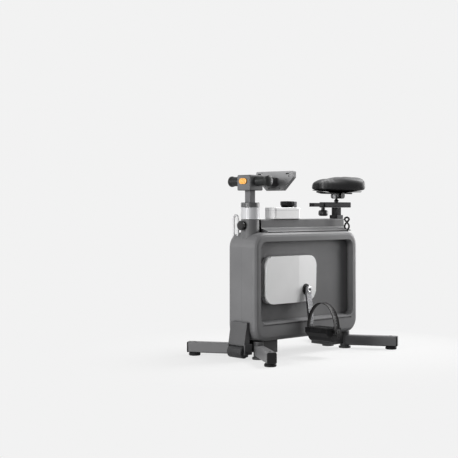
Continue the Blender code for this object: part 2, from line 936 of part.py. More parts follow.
def make_covers():
    back = BODY_HALF_WIDTH - RECESS_DEPTH + GAP
    for side, name in ((1, "cover_left"), (-1, "cover_right")):
        cover = cover_solid(name, side, 0.0, back, cover_white())
        soften(cover, COVER_EDGE, 2, 40.0)
        cavity = cover_solid(name + "_cavity", side, COVER_WALL, back - 0.005, cutter=True)
        bore = rod_object(
            name + "_bore",
            "X",
            (side * COVER_OUT, CRANK_Y, CRANK_Z),
            AXLE_RADIUS + 0.004,
            0.08,
            cutter=True,
        )
        cut(cover, cavity, bore)
        smooth(cover, 25.0)


def ring_face_x():
    """How far out the sloping cover is at the crank."""
    slope = (COVER_OUT - COVER_TAPER_OUT) / (COVER_REAR - COVER_CREASE_Y)
    return COVER_OUT - slope * (CRANK_Y - COVER_CREASE_Y)


def make_cover_rings():
    """Black seal rings round the crank, seated on the sloping covers."""
    slope = (COVER_OUT - COVER_TAPER_OUT) / (COVER_REAR - COVER_CREASE_Y)
    out = ring_face_x()
    for side, name in ((1, "cover_ring_left"), (-1, "cover_ring_right")):
        bm = bmesh.new()
        add_rod(bm, "X", (0, 0, 0), RING_RADIUS, RING_THICK, 24, RING_RADIUS - 0.0012)
        tilt = Matrix.Rotation(math.atan(slope), 3, "Z")
        bmesh.ops.rotate(bm, cent=(0, 0, 0), matrix=tilt, verts=bm.verts)
        seat = out + RING_THICK / 2 + 2 * GAP
        bmesh.ops.translate(bm, vec=(seat, CRANK_Y, CRANK_Z), verts=bm.verts)
        if side < 0:
            bmesh.ops.scale(bm, vec=(-1, 1, 1), verts=bm.verts)
            bmesh.ops.reverse_faces(bm, faces=bm.faces)
        ring = from_bmesh(name, bm, soft_black())
        bore = rod_object(
            name + "_bore",
            "X",
            (side * COVER_OUT, CRANK_Y, CRANK_Z),
            AXLE_RADIUS + 0.002,
            0.1,
            cutter=True,
            sides=32,
        )
        cut(ring, bore)
        smooth(ring)


# Carry loops


def wire(name, points, radius, resolution=2):
    """A round wire through points, as a closed mesh."""
    curve = bpy.data.curves.new(name, "CURVE")
    curve.dimensions = "3D"
    curve.bevel_depth = radius
    curve.bevel_resolution = resolution
    curve.use_fill_caps = True
    spline = curve.splines.new("POLY")
    spline.points.add(len(points) - 1)
    for point, place_at in zip(spline.points, points):
        point.co = (*place_at, 1.0)
    guide = bpy.data.objects.new(name + "_path", curve)
    CUTTERS.objects.link(guide)
    graph = bpy.context.evaluated_depsgraph_get()
    mesh = bpy.data.meshes.new_from_object(guide.evaluated_get(graph))
    bpy.data.objects.remove(guide, do_unlink=True)
    bm = bmesh.new()
    bm.from_mesh(mesh)
    bmesh.ops.remove_doubles(bm, verts=bm.verts, dist=0.00001)
    bmesh.ops.recalc_face_normals(bm, faces=bm.faces)
    return bm


def make_front_loop():
    """Pale loop by the right front corner: an upright ring with its feet on the shell's edge."""
    low = BODY_TOP - 0.018
    top = BODY_TOP + 0.072
    centre_x = -0.0635
    half = 0.012
    path = [(centre_x + half, low), (centre_x + half, top - half)]
    path += arc((centre_x, top - half), half, 15, 165, 6)
    path += [(centre_x - half, top - half), (centre_x - half, low)]
    bm = wire("front_loop", [(x, FRONT_LOOP_Y, z) for x, z in path], LOOP_RADIUS)
    loop = from_bmesh("carry_loop_front", bm, cover_white())
    cut(loop, body_solid("front_loop_envelope", -GAP))
    return smooth(loop, 60.0)


def make_rear_loop():
    """Black loop by the left rear corner: a ring that crosses over into two feet."""
    middle = 0.0612
    foot = BODY_TOP - 0.0055
    cross = BODY_TOP + 0.0265
    top = BODY_TOP + 0.061
    half = 0.0105
    ring = arc((middle, top - half), half, -40, 220, 10)
    path = [(middle - 0.010, SHOULDER_BOTTOM + 0.0035), (middle - 0.009, cross - 0.014)] + ring
    path += [(middle + 0.011, cross - 0.014), (SHOULDER_HALF_WIDTH + 0.0055, foot)]
    lean = 0.0062
    points = []
    for step, (x, z) in enumerate(path):
        across = lean * (2.0 * step / (len(path) - 1) - 1.0)
        points.append((x, REAR_LOOP_Y + across, z))
    bm = wire("rear_loop", points, LOOP_RADIUS * 0.8)
    loop = from_bmesh("carry_loop_rear", bm, rubber_black())
    cut(loop, body_solid("rear_loop_envelope", -GAP), beam_solid("rear_loop_rest", GAP, cutter=True))
    return smooth(loop, 60.0)


# Base


def leg_frame(front, side):
    """World matrix of a leg: local +X runs outward from the hub, +Z is up."""
    hub = Vector((side * HUB_X, front * HUB_Y, 0))
    foot = Vector((side * FOOT_X, front * FOOT_Y, 0))
    out = (foot - hub).normalized()
    across = Vector((-out.y, out.x, 0))
    turn = Matrix((out, across, Vector((0, 0, 1)))).transposed()
    return hub, turn, (foot - hub).length


def corners():
    """Front and rear, left and right, with their names."""
    return (
        ("front_left", -1, 1),
        ("front_right", -1, -1),
        ("rear_left", 1, 1),
        ("rear_right", 1, -1),
    )


def leg_block(name, front, side, x, inset, paint=None, cutter=False, z=None):
    """A block in the leg's own frame, brought to world space."""
    hub, turn, _ = leg_frame(front, side)
    low, high = z if z else (LEG_BOTTOM + inset, LEG_TOP - inset)
    half = LEG_WIDTH / 2 - inset
    bm = bmesh.new()
    rounded_block(bm, x, (-half, half), (low, high), 0.004 - min(inset, 0.002), segments=1)
    bmesh.ops.rotate(bm, cent=(0, 0, 0), matrix=turn, verts=bm.verts)
    bmesh.ops.translate(bm, vec=hub, verts=bm.verts)
    return from_bmesh(name, bm, paint, cutter)


def make_legs():
    for label, front, side in corners():
        _, _, reach = leg_frame(front, side)
        end = reach + LEG_PAST_FOOT - END_CAP - GAP
        leg = leg_block("leg_" + label, front, side, (0.0, end), 0.0, frame_grey())
        hollow = leg_block(
            "hollow_" + label, front, side, (BARREL_RADIUS + 0.02, end + 0.05), LEG_WALL, cutter=True
        )
        barrel = rod_object(
            "clear_barrel_" + label,
            "Z",
            (side * HUB_X, front * HUB_Y, 0.04),
            BARREL_RADIUS + 2 * GAP,
            0.12,
            cutter=True,
            sides=24,
        )
        stem = rod_object(
            "bore_glide_" + label,
            "Z",
            (side * FOOT_X, front * FOOT_Y, LEG_BOTTOM),
            GLIDE_STEM_RADIUS + TURN_FIT,
            0.012,
            cutter=True,
        )
        cut(leg, hollow, barrel, stem)


def make_end_caps():
    """Black caps that plug the four leg tubes."""
    for label, front, side in corners():
        _, _, reach = leg_frame(front, side)
        end = reach + LEG_PAST_FOOT
        cap = leg_block("end_cap_" + label, front, side, (end - END_CAP, end), 0.0, soft_black())
        soften(cap, 0.002, 1, 50.0)
        plug = leg_block(
            "end_plug_" + label,
            front,
            side,
            (end - END_CAP - END_PLUG, end - END_CAP + 0.002),
            LEG_WALL + GAP,
            cutter=True,
        )
        join(cap, plug)


def make_foot_frames():
    """Front and rear castings under the body: a hub block with two round foot posts."""
    for front, name in ((-1, "foot_frame_front"), (1, "foot_frame_rear")):
        near = front * HUB_BLOCK_NEAR
        far = front * HUB_BLOCK_FAR
        top = BODY_BOTTOM - GAP
        bm = bmesh.new()
        rounded_block(
            bm,
            (-HUB_BLOCK_HALF, HUB_BLOCK_HALF),
            (min(near, far), max(near, far)),
            (HUB_BLOCK_BOTTOM, top),
            0.006,
            along=2,
            segments=2,
        )
        casting = from_bmesh(name, bm, soft_black())
        soften(casting, 0.0025, 2, 50.0)
        tools = []
        for side, label in ((1, "left"), (-1, "right")):
            x = side * HUB_X
            y = front * HUB_Y
            web_x = (x - 0.008, x + 0.008)
            web_y = sorted((front * (HUB_BLOCK_FAR - 0.01), y))
            tools.append(block_object(name + "_web_" + label, web_x, web_y, (0.028, top - 0.004),
                                      cutter=True))
            tools.append(rod_object(name + "_post_" + label, "Z", (x, y, top / 2), BARREL_RADIUS,
                                    top, cutter=True, sides=24))
            tools.append(rod_object(name + "_flange_" + label, "Z",
                                    (x, y, BARREL_FLANGE_HEIGHT / 2 + 0.0), BARREL_FLANGE_RADIUS,
                                    BARREL_FLANGE_HEIGHT, cutter=True, sides=24))
        join(casting, *tools)
        smooth(casting)


def make_glides():
    """Four levelling glides, each a pad on a stem that turns in the leg."""
    for label, front, side in corners():
        at = (side * FOOT_X, front * FOOT_Y, 0)
        top = LEG_BOTTOM - GAP
        profile = [
            (0.0, top + GLIDE_STEM_LENGTH),
            (GLIDE_STEM_RADIUS, top + GLIDE_STEM_LENGTH),
            (GLIDE_STEM_RADIUS, top),
            (GLIDE_RADIUS - 0.004, top),
            (GLIDE_RADIUS, top - 0.004),
            (GLIDE_RADIUS, 0.002),
            (GLIDE_RADIUS - 0.002, 0.0),
            (0.0, 0.0),
        ]
        holder = pivot("axis_glide_" + label, at)
        turned("glide_" + label, profile, at, "Z", rubber_black(), holder=holder, steps=20)


# Front roller


def make_roller_bracket():
    """A leaning plate on the body's front with a fork below it for the roller."""
    back = -BODY_HALF_LENGTH - GAP
    top_y = BRACKET_TOP_Y
    low_y = BRACKET_LOW_Y
    loop = [
        (back, BRACKET_TOP),
        (top_y, BRACKET_TOP),
        (low_y, BRACKET_FOOT - 0.002),
        (back, BRACKET_FOOT - 0.002),
    ]
    bracket = plate(
        "roller_bracket",
        [loop],
        -BRACKET_HALF_WIDTH,
        2 * BRACKET_HALF_WIDTH,
        SIDE_VIEW,
        frame_grey(),
    )
    fork = block_object(
        "join_fork",
        (-FORK_HALF_WIDTH, FORK_HALF_WIDTH),
        (low_y, back + 0.012),
        (FORK_BOTTOM, BRACKET_FOOT),
        cutter=True,
    )
    well = block_object(
        "cut_fork_well",
        (-FORK_HALF_WIDTH + FORK_WALL, FORK_HALF_WIDTH - FORK_WALL),
        (low_y - 0.02, back + 0.05),
        (FORK_BOTTOM - 0.02, BRACKET_FOOT - FORK_WALL),
        cutter=True,
    )
    under_body = block_object(
        "cut_under_body",
        (-0.1, 0.1),
        (back, back + 0.1),
        (BODY_BOTTOM - 0.002, BODY_BOTTOM + 0.1),
        cutter=True,
    )
    pin = rod_object(
        "bore_roller_pin",
        "X",
        (0, ROLLER_Y, ROLLER_Z),
        ROLLER_PIN_RADIUS + TURN_FIT,
        0.2,
        cutter=True,
    )
    join(bracket, fork)
    cut(bracket, under_body, well, body_solid("bracket_envelope", -GAP), pin)
    return bracket


def make_roller():
    end = ROLLER_HALF_LENGTH
    pin_end = FORK_HALF_WIDTH + 0.002
    r = ROLLER_RADIUS
    profile = [
        (0.0, pin_end),
        (ROLLER_PIN_RADIUS, pin_end),
        (ROLLER_PIN_RADIUS, end),
        (r - 0.003, end),
        (r, end - 0.003),
        (r, -end + 0.003),
        (r - 0.003, -end),
        (ROLLER_PIN_RADIUS, -end),
        (ROLLER_PIN_RADIUS, -pin_end),
        (0.0, -pin_end),
    ]
    at = (0, ROLLER_Y, ROLLER_Z)
    turned("front_roller", profile, at, "X", rubber_black(),
           holder=pivot("axis_roller", at), steps=20)


# Inner drive


def belt_tangents(radius_one, radius_two):
    """Loop round the crank pulley and the flywheel pulley, in side view."""
    one = Vector((CRANK_Y, CRANK_Z))
    two = Vector((FLYWHEEL_Y, FLYWHEEL_Z))
    run = two - one
    lean = math.degrees(math.atan2(run.y, run.x))
    open_half = math.degrees(math.acos((radius_one - radius_two) / run.length))
    loop = arc(one, radius_one, lean + open_half, lean + 360 - open_half, 26)
    loop += arc(two, radius_two, lean - open_half, lean + open_half, 10)
    return loop


def make_belt():
    inner = belt_tangents(PULLEY_RADIUS + GAP * 2, SMALL_PULLEY_RADIUS + GAP * 2)
    outer = belt_tangents(
        PULLEY_RADIUS + GAP * 2 + BELT_THICK, SMALL_PULLEY_RADIUS + GAP * 2 + BELT_THICK
    )
    width = 2 * PULLEY_HALF - 0.004
    plate("drive_belt", [outer, inner], PULLEY_X - width / 2, width, SIDE_VIEW, rubber_black())


def make_flywheel():
    """Flywheel, its axle and its belt pulley, turned as one."""
    at = (0, FLYWHEEL_Y, FLYWHEEL_Z)
    half = FLYWHEEL_HALF
    middle = FLYWHEEL_X
    r = FLYWHEEL_RADIUS
    axle = FLYWHEEL_AXLE_RADIUS
    end = PLATE_IN + PLATE_THICK + 0.003
    pulley_from = PULLEY_X + PULLEY_HALF
    pulley_to = PULLEY_X - PULLEY_HALF
    profile = [
        (0.0, end),
        (axle, end),
        (axle, middle + half * 0.7),
        (0.020, middle + half * 0.7),
        (0.020, middle + half * 0.4),
        (r - 0.018, middle + half * 0.4),
        (r - 0.016, middle + half),
        (r, middle + half),
        (r, middle - half),
        (r - 0.016, middle - half),
        (r - 0.018, middle - half * 0.4),
        (0.020, middle - half * 0.4),
        (0.020, middle - half * 0.7),
        (axle, middle - half * 0.7),
        (axle, pulley_from),
        (SMALL_PULLEY_RADIUS, pulley_from),
        (SMALL_PULLEY_RADIUS, pulley_to),
        (axle, pulley_to),
        (axle, -end),
        (0.0, -end),
    ]
    turned("flywheel", profile, at, "X", cast_iron(), holder=pivot("axis_flywheel", at), steps=24)


def make_magnet_carrier():
    """Swinging arc over the flywheel's rim on a pin between the side plates."""
    at = (0, MAGNET_PIVOT_Y, MAGNET_PIVOT_Z)
    holder = pivot("axis_magnet", at)
    centre = (FLYWHEEL_Y, FLYWHEEL_Z)
    inner = FLYWHEEL_RADIUS + 0.004
    outer = inner + 0.010
    loop = arc(centre, outer, 55, 130, 10) + arc(centre, inner, 130, 55, 10)
    half = FLYWHEEL_HALF
    carrier = plate(
        "magnet_carrier", [loop], FLYWHEEL_X - half, 2 * half, SIDE_VIEW, cast_iron(),
        at=at, holder=holder,
    )
    arm_loop = [
        (MAGNET_PIVOT_Y + 0.008, MAGNET_PIVOT_Z - 0.008),
        (MAGNET_PIVOT_Y + 0.008, MAGNET_PIVOT_Z + 0.008),
        (FLYWHEEL_Y + 0.030, MAGNET_PIVOT_Z),
        (FLYWHEEL_Y + 0.022, MAGNET_PIVOT_Z - 0.016),
        (FLYWHEEL_Y + 0.040, MAGNET_PIVOT_Z - 0.026),
    ]
    arm = plate("join_magnet_arm", [arm_loop], FLYWHEEL_X - 0.006, 0.012, SIDE_VIEW, cutter=True)
    pin = rod_object(
        "join_magnet_pin", "X", at, MAGNET_PIN_RADIUS, 2 * PLATE_IN + 2 * PLATE_THICK - 0.001, cutter=True
    )
    boss = rod_object(
        "join_magnet_boss", "X", (FLYWHEEL_X, at[1], at[2]), 0.0095, 0.030, cutter=True
    )
    join(carrier, arm, boss, pin)
    return carrier


# Crank and pedals


def crank_holder():
    return pivot("axis_crank", (0, CRANK_Y, CRANK_Z))


def crank_direction(side):
    """Unit (y, z) from the axle to this side's pedal: left arm down, right arm up."""
    lean = math.radians(CRANK_LEAN)
    down = (math.sin(lean), -math.cos(lean))
    return down if side > 0 else (-down[0], -down[1])


def pedal_centre(side):
    way = crank_direction(side)
    return (CRANK_Y + way[0] * CRANK_LENGTH, CRANK_Z + way[1] * CRANK_LENGTH)


def make_axle(holder):
    """Crank axle with the belt pulley on its middle."""
    end = ARM_IN + ARM_THICK * 0.6
    bore = AXLE_RADIUS
    r = PULLEY_RADIUS
    high = PULLEY_X + PULLEY_HALF
    low = PULLEY_X - PULLEY_HALF
    web_high = PULLEY_X + 0.003
    web_low = PULLEY_X - 0.003
    profile = [
        (0.0, end),
        (bore, end),
        (bore, high + 0.004),
        (0.018, high + 0.004),
        (0.018, web_high),
        (r - 0.008, web_high),
        (r - 0.008, high),
        (r, high),
        (r, low),
        (r - 0.008, low),
        (r - 0.008, web_low),
        (0.018, web_low),
        (0.018, low),
        (bore, low),
        (bore, -end),
        (0.0, -end),
    ]
    at = (0, CRANK_Y, CRANK_Z)
    turned("crank_axle", profile, at, "X", steel(), holder=holder, steps=24)


def arm_loop(side):
    """Crank arm in side view: tapers from the boss to the pedal spindle."""
    way = crank_direction(side)
    lean = math.degrees(math.atan2(way[1], way[0]))
    centre = (CRANK_Y, CRANK_Z)
    eye = pedal_centre(side)
    loop = arc(centre, ARM_BOSS_RADIUS, lean + 95, lean + 265, 12)
    loop += arc(eye, ARM_TIP_RADIUS, lean - 88, lean + 88, 10)
    return loop


def arm_step(name, side):
    """The arm's form in front view: out at the boss, then further out down to its tip."""
    inner = ARM_IN
    outer = ARM_IN + ARM_THICK
    past = ARM_BOSS_RADIUS + 0.01
    start = 0.020
    end = 0.115
    far = CRANK_LENGTH + ARM_TIP_RADIUS + 0.01
    profile = [
        (inner, past),
        (inner, -start),
        (inner + ARM_OFFSET, -end),
        (inner + ARM_OFFSET, -far),
        (outer + ARM_OFFSET, -far),
        (outer + ARM_OFFSET, -end),
        (outer, -start),
        (outer, past),
    ]
    loop = [(side * x, CRANK_Z + side * z) for x, z in profile]
    return plate(name, [loop], CRANK_Y + 0.06, 0.12, FRONT_VIEW, cutter=True)


def make_crank_arms(holder):
    at = (0, CRANK_Y, CRANK_Z)
    deep = ARM_THICK + ARM_OFFSET
    for side, name in ((1, "crank_arm_left"), (-1, "crank_arm_right")):
        start = ARM_IN if side > 0 else -ARM_IN - deep
        arm = plate(name, [arm_loop(side)], start, deep, SIDE_VIEW, steel(), at=at,
                    holder=holder)
        keep(arm, arm_step(name + "_step", side))
        soften(arm, 0.0018, 1, 50.0)
        boss = rod_object(
            name + "_boss",
            "X",
            (side * (ARM_IN + ARM_THICK - 0.001), CRANK_Y, CRANK_Z),
            ARM_BOSS_RADIUS - 0.003,
            0.008,
            cutter=True,
        )
        bolt = rod_object(
            name + "_bolt",
            "X",
            (side * (ARM_IN + ARM_THICK + 0.001), CRANK_Y, CRANK_Z),
            0.0075,
            0.008,
            cutter=True,
            sides=6,
        )
        seat = rod_object(
            name + "_seat",
            "X",
            (side * ARM_IN, CRANK_Y, CRANK_Z),
            AXLE_RADIUS + GAP,
            2 * (ARM_THICK * 0.6 + GAP),
            cutter=True,
            sides=32,
        )
        y, z = pedal_centre(side)
        first = ARM_IN + ARM_OFFSET + 0.002
        last = PEDAL_OUT - 0.012
        spindle = rod_object(
            name + "_spindle",
            "X",
            (side * (first + last) / 2, y, z),
            SPINDLE_RADIUS,
            last - first,
            cutter=True,
        )
        join(arm, boss, bolt, spindle)
        cut(arm, seat)


def pedal_loop():
    """Pedal body seen from the side, about its axis: flat tread, keel below."""
    half = PEDAL_HALF_LENGTH
    return [
        (half - 0.003, PEDAL_TOP),
        (-half + 0.003, PEDAL_TOP),
        (-half, PEDAL_TOP - 0.003),
        (-half, -0.008),
        (-0.030, PEDAL_BOTTOM),
        (-0.020, PEDAL_KEEL + 0.004),
        (-0.014, PEDAL_KEEL),
        (0.014, PEDAL_KEEL),
        (0.020, PEDAL_KEEL + 0.004),
        (0.030, PEDAL_BOTTOM),
        (half, -0.008),
        (half, PEDAL_TOP - 0.003),
    ]


def make_pedal(side, label):
    y, z = pedal_centre(side)
    middle = side * (PEDAL_IN + PEDAL_OUT) / 2
    at = (middle, y, z)
    holder = pivot("axis_pedal_" + label, at)
    width = PEDAL_OUT - PEDAL_IN
    loop = [(y + u, z + v) for u, v in pedal_loop()]
    start = PEDAL_IN if side > 0 else -PEDAL_OUT
    body = plate("pedal_" + label, [loop], start, width, SIDE_VIEW, soft_black(), at=at,
                 holder=holder)
    bore = rod_object(
        "bore_pedal_" + label,
        "X",
        (side * (PEDAL_IN - 0.001 + PEDAL_OUT - 0.010) / 2, y, z),
        SPINDLE_RADIUS + TURN_FIT,
        PEDAL_OUT - 0.010 - PEDAL_IN + 0.001,
        cutter=True,
    )
    grooves = bmesh.new()
    count = 8
    for step in range(count):
        x = middle + (step - (count - 1) / 2) * 0.013
        add_block(grooves, (x - 0.002, x + 0.002), (y - 0.1, y + 0.1),
                  (z + PEDAL_TOP - 0.0025, z + PEDAL_TOP + 0.01))
    under = block_object(
        "under_pedal_" + label,
        (middle - width / 2 + 0.010, middle + width / 2 - 0.010),
        (y - 0.012, y + 0.012),
        (z + PEDAL_KEEL - 0.01, z - SPINDLE_RADIUS - 0.006),
        cutter=True,
    )
    cut(body, bore, from_bmesh("tread_" + label, grooves, cutter=True), under)
    make_strap(side, label, middle, y, z, at, holder)


def strap_path(shrink):
    """Hoop over the pedal about its middle: outer tab, outer foot, apex, inner foot."""
    middle = (PEDAL_IN + PEDAL_OUT) / 2
    inner = STRAP_INNER_X - middle
    outer = STRAP_OUTER_X - middle
    centre = (inner + outer) / 2
    half = (outer - inner) / 2 - shrink
    low = STRAP_TAB_Z + shrink
    spring = 0.008
    rise = STRAP_APEX - spring - shrink
    points = [
        (PEDAL_OUT + GAP - middle, low),
        (centre + half - 0.006, low),
        (centre + half, low + 0.006),
    ]
    for step in range(13):
        angle = math.radians(180 * step / 12)
        wide = half * math.cos(angle)
        high = spring + rise * math.sin(angle) ** 0.85
        points.append((centre + wide, high))
    return points + [(centre - half, spring - 0.0005)]


def make_strap(side, label, middle, y, z, at, holder):
    """Foot strap: a band that runs slantwise over the foot and widens to its outer end."""
    outer = strap_path(0.0)
    inner = strap_path(STRAP_THICK)
    bm = bmesh.new()
    rings = []
    for step, (over, under) in enumerate(zip(outer, inner)):
        share = step / (len(outer) - 1)
        across = y + STRAP_OUTER_Y + (STRAP_INNER_Y - STRAP_OUTER_Y) * share
        half = STRAP_OUTER_HALF + (STRAP_INNER_HALF - STRAP_OUTER_HALF) * share
        ring = []
        for (u, v), shift in ((over, half), (over, -half), (under, -half), (under, half)):
            ring.append(bm.verts.new((middle + side * u, across + shift, z + v)))
        rings.append(ring)
    for one, two in zip(rings, rings[1:]):
        for step in range(4):
            after = (step + 1) % 4
            bm.faces.new((one[step], one[after], two[after], two[step]))
    bm.faces.new(list(reversed(rings[0])))
    bm.faces.new(rings[-1])
    bmesh.ops.recalc_face_normals(bm, faces=bm.faces)
    strap = from_bmesh("pedal_strap_" + label, bm, rubber_black(), at=at, holder=holder)
    return smooth(strap)


# Controls


def make_dial():
    at = (0, DIAL_Y, POD_TOP + GAP)
    holder = pivot("axis_dial", at)
    height = DIAL_TOP - POD_TOP - GAP
    dial = turned(
        "resistance_dial",
        [
            (0.0, height - 0.002),
            (DIAL_RADIUS - 0.010, height - 0.002),
            (DIAL_RADIUS - 0.008, height),
            (DIAL_RADIUS - 0.002, height),
            (DIAL_RADIUS, height - 0.002),
            (DIAL_RADIUS, height * 0.45),
            (DIAL_FOOT_RADIUS, 0.002),
            (DIAL_FOOT_RADIUS - 0.001, 0.0),
            (DIAL_STEM_RADIUS, 0.0),
            (DIAL_STEM_RADIUS, -DIAL_STEM_LENGTH),
            (0.0, -DIAL_STEM_LENGTH),
        ],
        at,
        "Z",
        dark_grey(),
        holder=holder,
        steps=32,
    )
    grooves = bmesh.new()
    for step in range(DIAL_RIBS):
        angle = 2 * math.pi * (step + 0.5) / DIAL_RIBS
        spot = (at[0] + (DIAL_RADIUS + 0.0008) * math.cos(angle),
                at[1] + (DIAL_RADIUS + 0.0008) * math.sin(angle),
                at[2] + height * 0.76)
        add_rod(grooves, "Z", spot, 0.0024, height * 0.6, 6)
    cut(dial, from_bmesh("dial_grooves", grooves, cutter=True))
    way = math.radians(LUG_ANGLE)
    bm = bmesh.new()
    verts = add_block(bm, (DIAL_FOOT_RADIUS - 0.006, LUG_REACH), (-0.007, 0.007),
                      (at[2] + 0.006, at[2] + 0.014))
    bmesh.ops.rotate(bm, cent=(0, 0, 0), matrix=Matrix.Rotation(way, 3, "Z"), verts=verts)
    bmesh.ops.translate(bm, vec=(at[0], at[1], 0), verts=verts)
    join(dial, from_bmesh("dial_lug", bm, cutter=True))
    return dial


def make_neck_knob():
    face = -UPRIGHT_Y - SOCKET_RADIUS - 0.0006
    at = (0, face, NECK_KNOB_Z)
    holder = pivot("axis_neck_knob", at)
    r = NECK_KNOB_RADIUS
    depth = NECK_KNOB_DEPTH
    knob = turned(
        "neck_knob",
        [
            (0.0, depth),
            (r - 0.004, depth),
            (r, depth - 0.004),
            (r, 0.008),
            (r - 0.004, 0.004),
            (0.010, 0.0),
            (0.0, 0.0),
        ],
        at,
        "-Y",
        soft_black(),
        holder=holder,
        steps=28,
    )
    grips = bmesh.new()
    for step in range(8):
        angle = math.pi * step / 4
        spot = ((r + 0.003) * math.cos(angle), face - depth / 2 - 0.004,
                NECK_KNOB_Z + (r + 0.003) * math.sin(angle))
        add_rod(grips, "Y", spot, 0.005, depth, 10)
    cut(knob, from_bmesh("knob_grips", grips, cutter=True))
    return knob


def make_handlebar_post(holder):
    y = -UPRIGHT_Y
    half = POST_HALF
    bm = bmesh.new()
    rounded_block(bm, (-half, half), (y - half, y + half), (POST_BOTTOM, HEAD_BOTTOM - GAP),
                  0.003, along=2, segments=2)
    post = from_bmesh("handlebar_post", bm, dark_grey(), at=(0, y, SOCKET_TOP), holder=holder)
    wall = 0.0025
    hollow = block_object(
        "hollow_post",
        (-half + wall, half - wall),
        (y - half + wall, y + half - wall),
        (POST_BOTTOM - 0.01, HEAD_BOTTOM - 0.012),
        cutter=True,
    )
    cut(post, hollow)
    return post


def button_loop(grow):
    half = BUTTON_HALF_WIDTH + grow
    high = BUTTON_HALF_HEIGHT + grow
    return rounded_loop(BUTTON_X - half, BUTTON_X + half, GRIP_Z - high, GRIP_Z + high,
                        high - 0.0005, 6)


def make_head(holder):
    """Head block with its pocket for the release button and the arm to the console."""
    y = -UPRIGHT_Y
    at = (0, y, SOCKET_TOP)
    half = HEAD_HALF
    bm = bmesh.new()
    rounded_block(bm, (-half, half), (y - half, y + half), (HEAD_BOTTOM, HEAD_TOP), 0.008,
                  along=2, segments=3)
    head = from_bmesh("head_block", bm, dark_grey(), at=at, holder=holder)
    soften(head, 0.004, 2, 50.0)
    arm = block_object(
        "join_console_arm",
        (-ARM_HALF_WIDTH, ARM_HALF_WIDTH),
        (y + half - 0.010, PANEL_FRONT - GAP),
        (ARM_BOTTOM, ARM_TOP),
        cutter=True,
    )
    pocket = plate(
        "cut_button_pocket",
        [button_loop(0.0008)],
        y - half + BUTTON_DEEP + 0.004,
        BUTTON_DEEP + 0.03,
        FRONT_VIEW,
        cutter=True,
    )
    join(head, arm)
    cut(head, pocket)
    return head


def make_button(holder):
    face = -UPRIGHT_Y - HEAD_HALF
    at = (BUTTON_X, face, GRIP_Z)
    button_holder = pivot("axis_button", at, holder)
    button = plate(
        "release_button",
        [button_loop(0.0)],
        face + BUTTON_DEEP,
        BUTTON_DEEP + BUTTON_OUT,
        FRONT_VIEW,
        accent_orange(),
        at=at,
        holder=button_holder,
    )
    return soften(button, 0.0015, 2, 50.0)


def make_grips(holder):
    start = HEAD_HALF + GAP
    for side, name in ((1, "grip_left"), (-1, "grip_right")):
        at = (side * start, -UPRIGHT_Y, GRIP_Z)
        end = GRIP_END - start
        r = GRIP_RADIUS
        waist = GRIP_WAIST
        turned(
            name,
            [
                (0.0, end),
                (r - 0.010, end - 0.0015),
                (r - 0.003, end - 0.006),
                (r, end - 0.013),
                (r, end * 0.62),
                (waist, end * 0.55),
                (waist, end * 0.20),
                (r - 0.001, 0.006),
                (r - 0.001, 0.0),
                (0.0, 0.0),
            ],
            at,
            "X" if side > 0 else "-X",
            rubber_black(),
            holder=holder,
            steps=28,
        )


def panel_loop():
    """Console front outline (x, z): flat top, flat middle foot, slanted lower sides."""
    right = [
        (PANEL_FLAT, PANEL_BOTTOM),
        (PANEL_HALF_WIDTH - 0.004, PANEL_END - 0.002),
        (PANEL_HALF_WIDTH, PANEL_END + 0.003),
    ]
    right += arc((PANEL_HALF_WIDTH - 0.006, PANEL_TOP - 0.006), 0.006, 0, 90, 3)
    return right + [(-x, z) for x, z in reversed(right)]


def make_console(holder):
    at = (0, -UPRIGHT_Y, SOCKET_TOP)
    panel = plate(
        "console_panel",
        [panel_loop()],
        PANEL_FRONT + PANEL_THICK,
        PANEL_THICK,
        FRONT_VIEW,
        dark_grey(),
        at=at,
        holder=holder,
    )
    soften(panel, 0.002, 2, 50.0)
    slots = []
    for side, label in ((1, "left"), (-1, "right")):
        x = (side * SLOT_INNER, side * SLOT_OUTER)
        slots.append(block_object(
            "slot_" + label,
            (min(x), max(x)),
            (PANEL_FRONT - 0.01, PANEL_FRONT + PANEL_THICK + 0.01),
            (SLOT_Z - SLOT_HEIGHT / 2, SLOT_Z + SLOT_HEIGHT / 2),
            cutter=True,
        ))
    window = block_object(
        "console_window",
        (-0.040, 0.040),
        (PANEL_FRONT + PANEL_THICK - 0.0015, PANEL_FRONT + PANEL_THICK + 0.01),
        (PANEL_TOP - 0.065, PANEL_TOP - 0.021),
        cutter=True,
    )
    cut(panel, *slots, window)
    return panel


# Seat


def make_seat_column(holder):
    y = UPRIGHT_Y
    half = POST_HALF
    at = (0, y, SEAT_FLANGE_TOP)
    bm = bmesh.new()
    rounded_block(bm, (-half, half), (y - half, y + half), (SEAT_POST_BOTTOM, RAIL_BOTTOM - GAP),
                  0.003, along=2, segments=2)
    column = from_bmesh("seat_column", bm, frame_grey(), at=at, holder=holder)
    wall = 0.0025
    hollow = block_object(
        "hollow_column",
        (-half + wall, half - wall),
        (y - half + wall, y + half - wall),
        (SEAT_POST_BOTTOM - 0.01, RAIL_BOTTOM - 0.012),
        cutter=True,
    )
    cut(column, hollow)
    return column


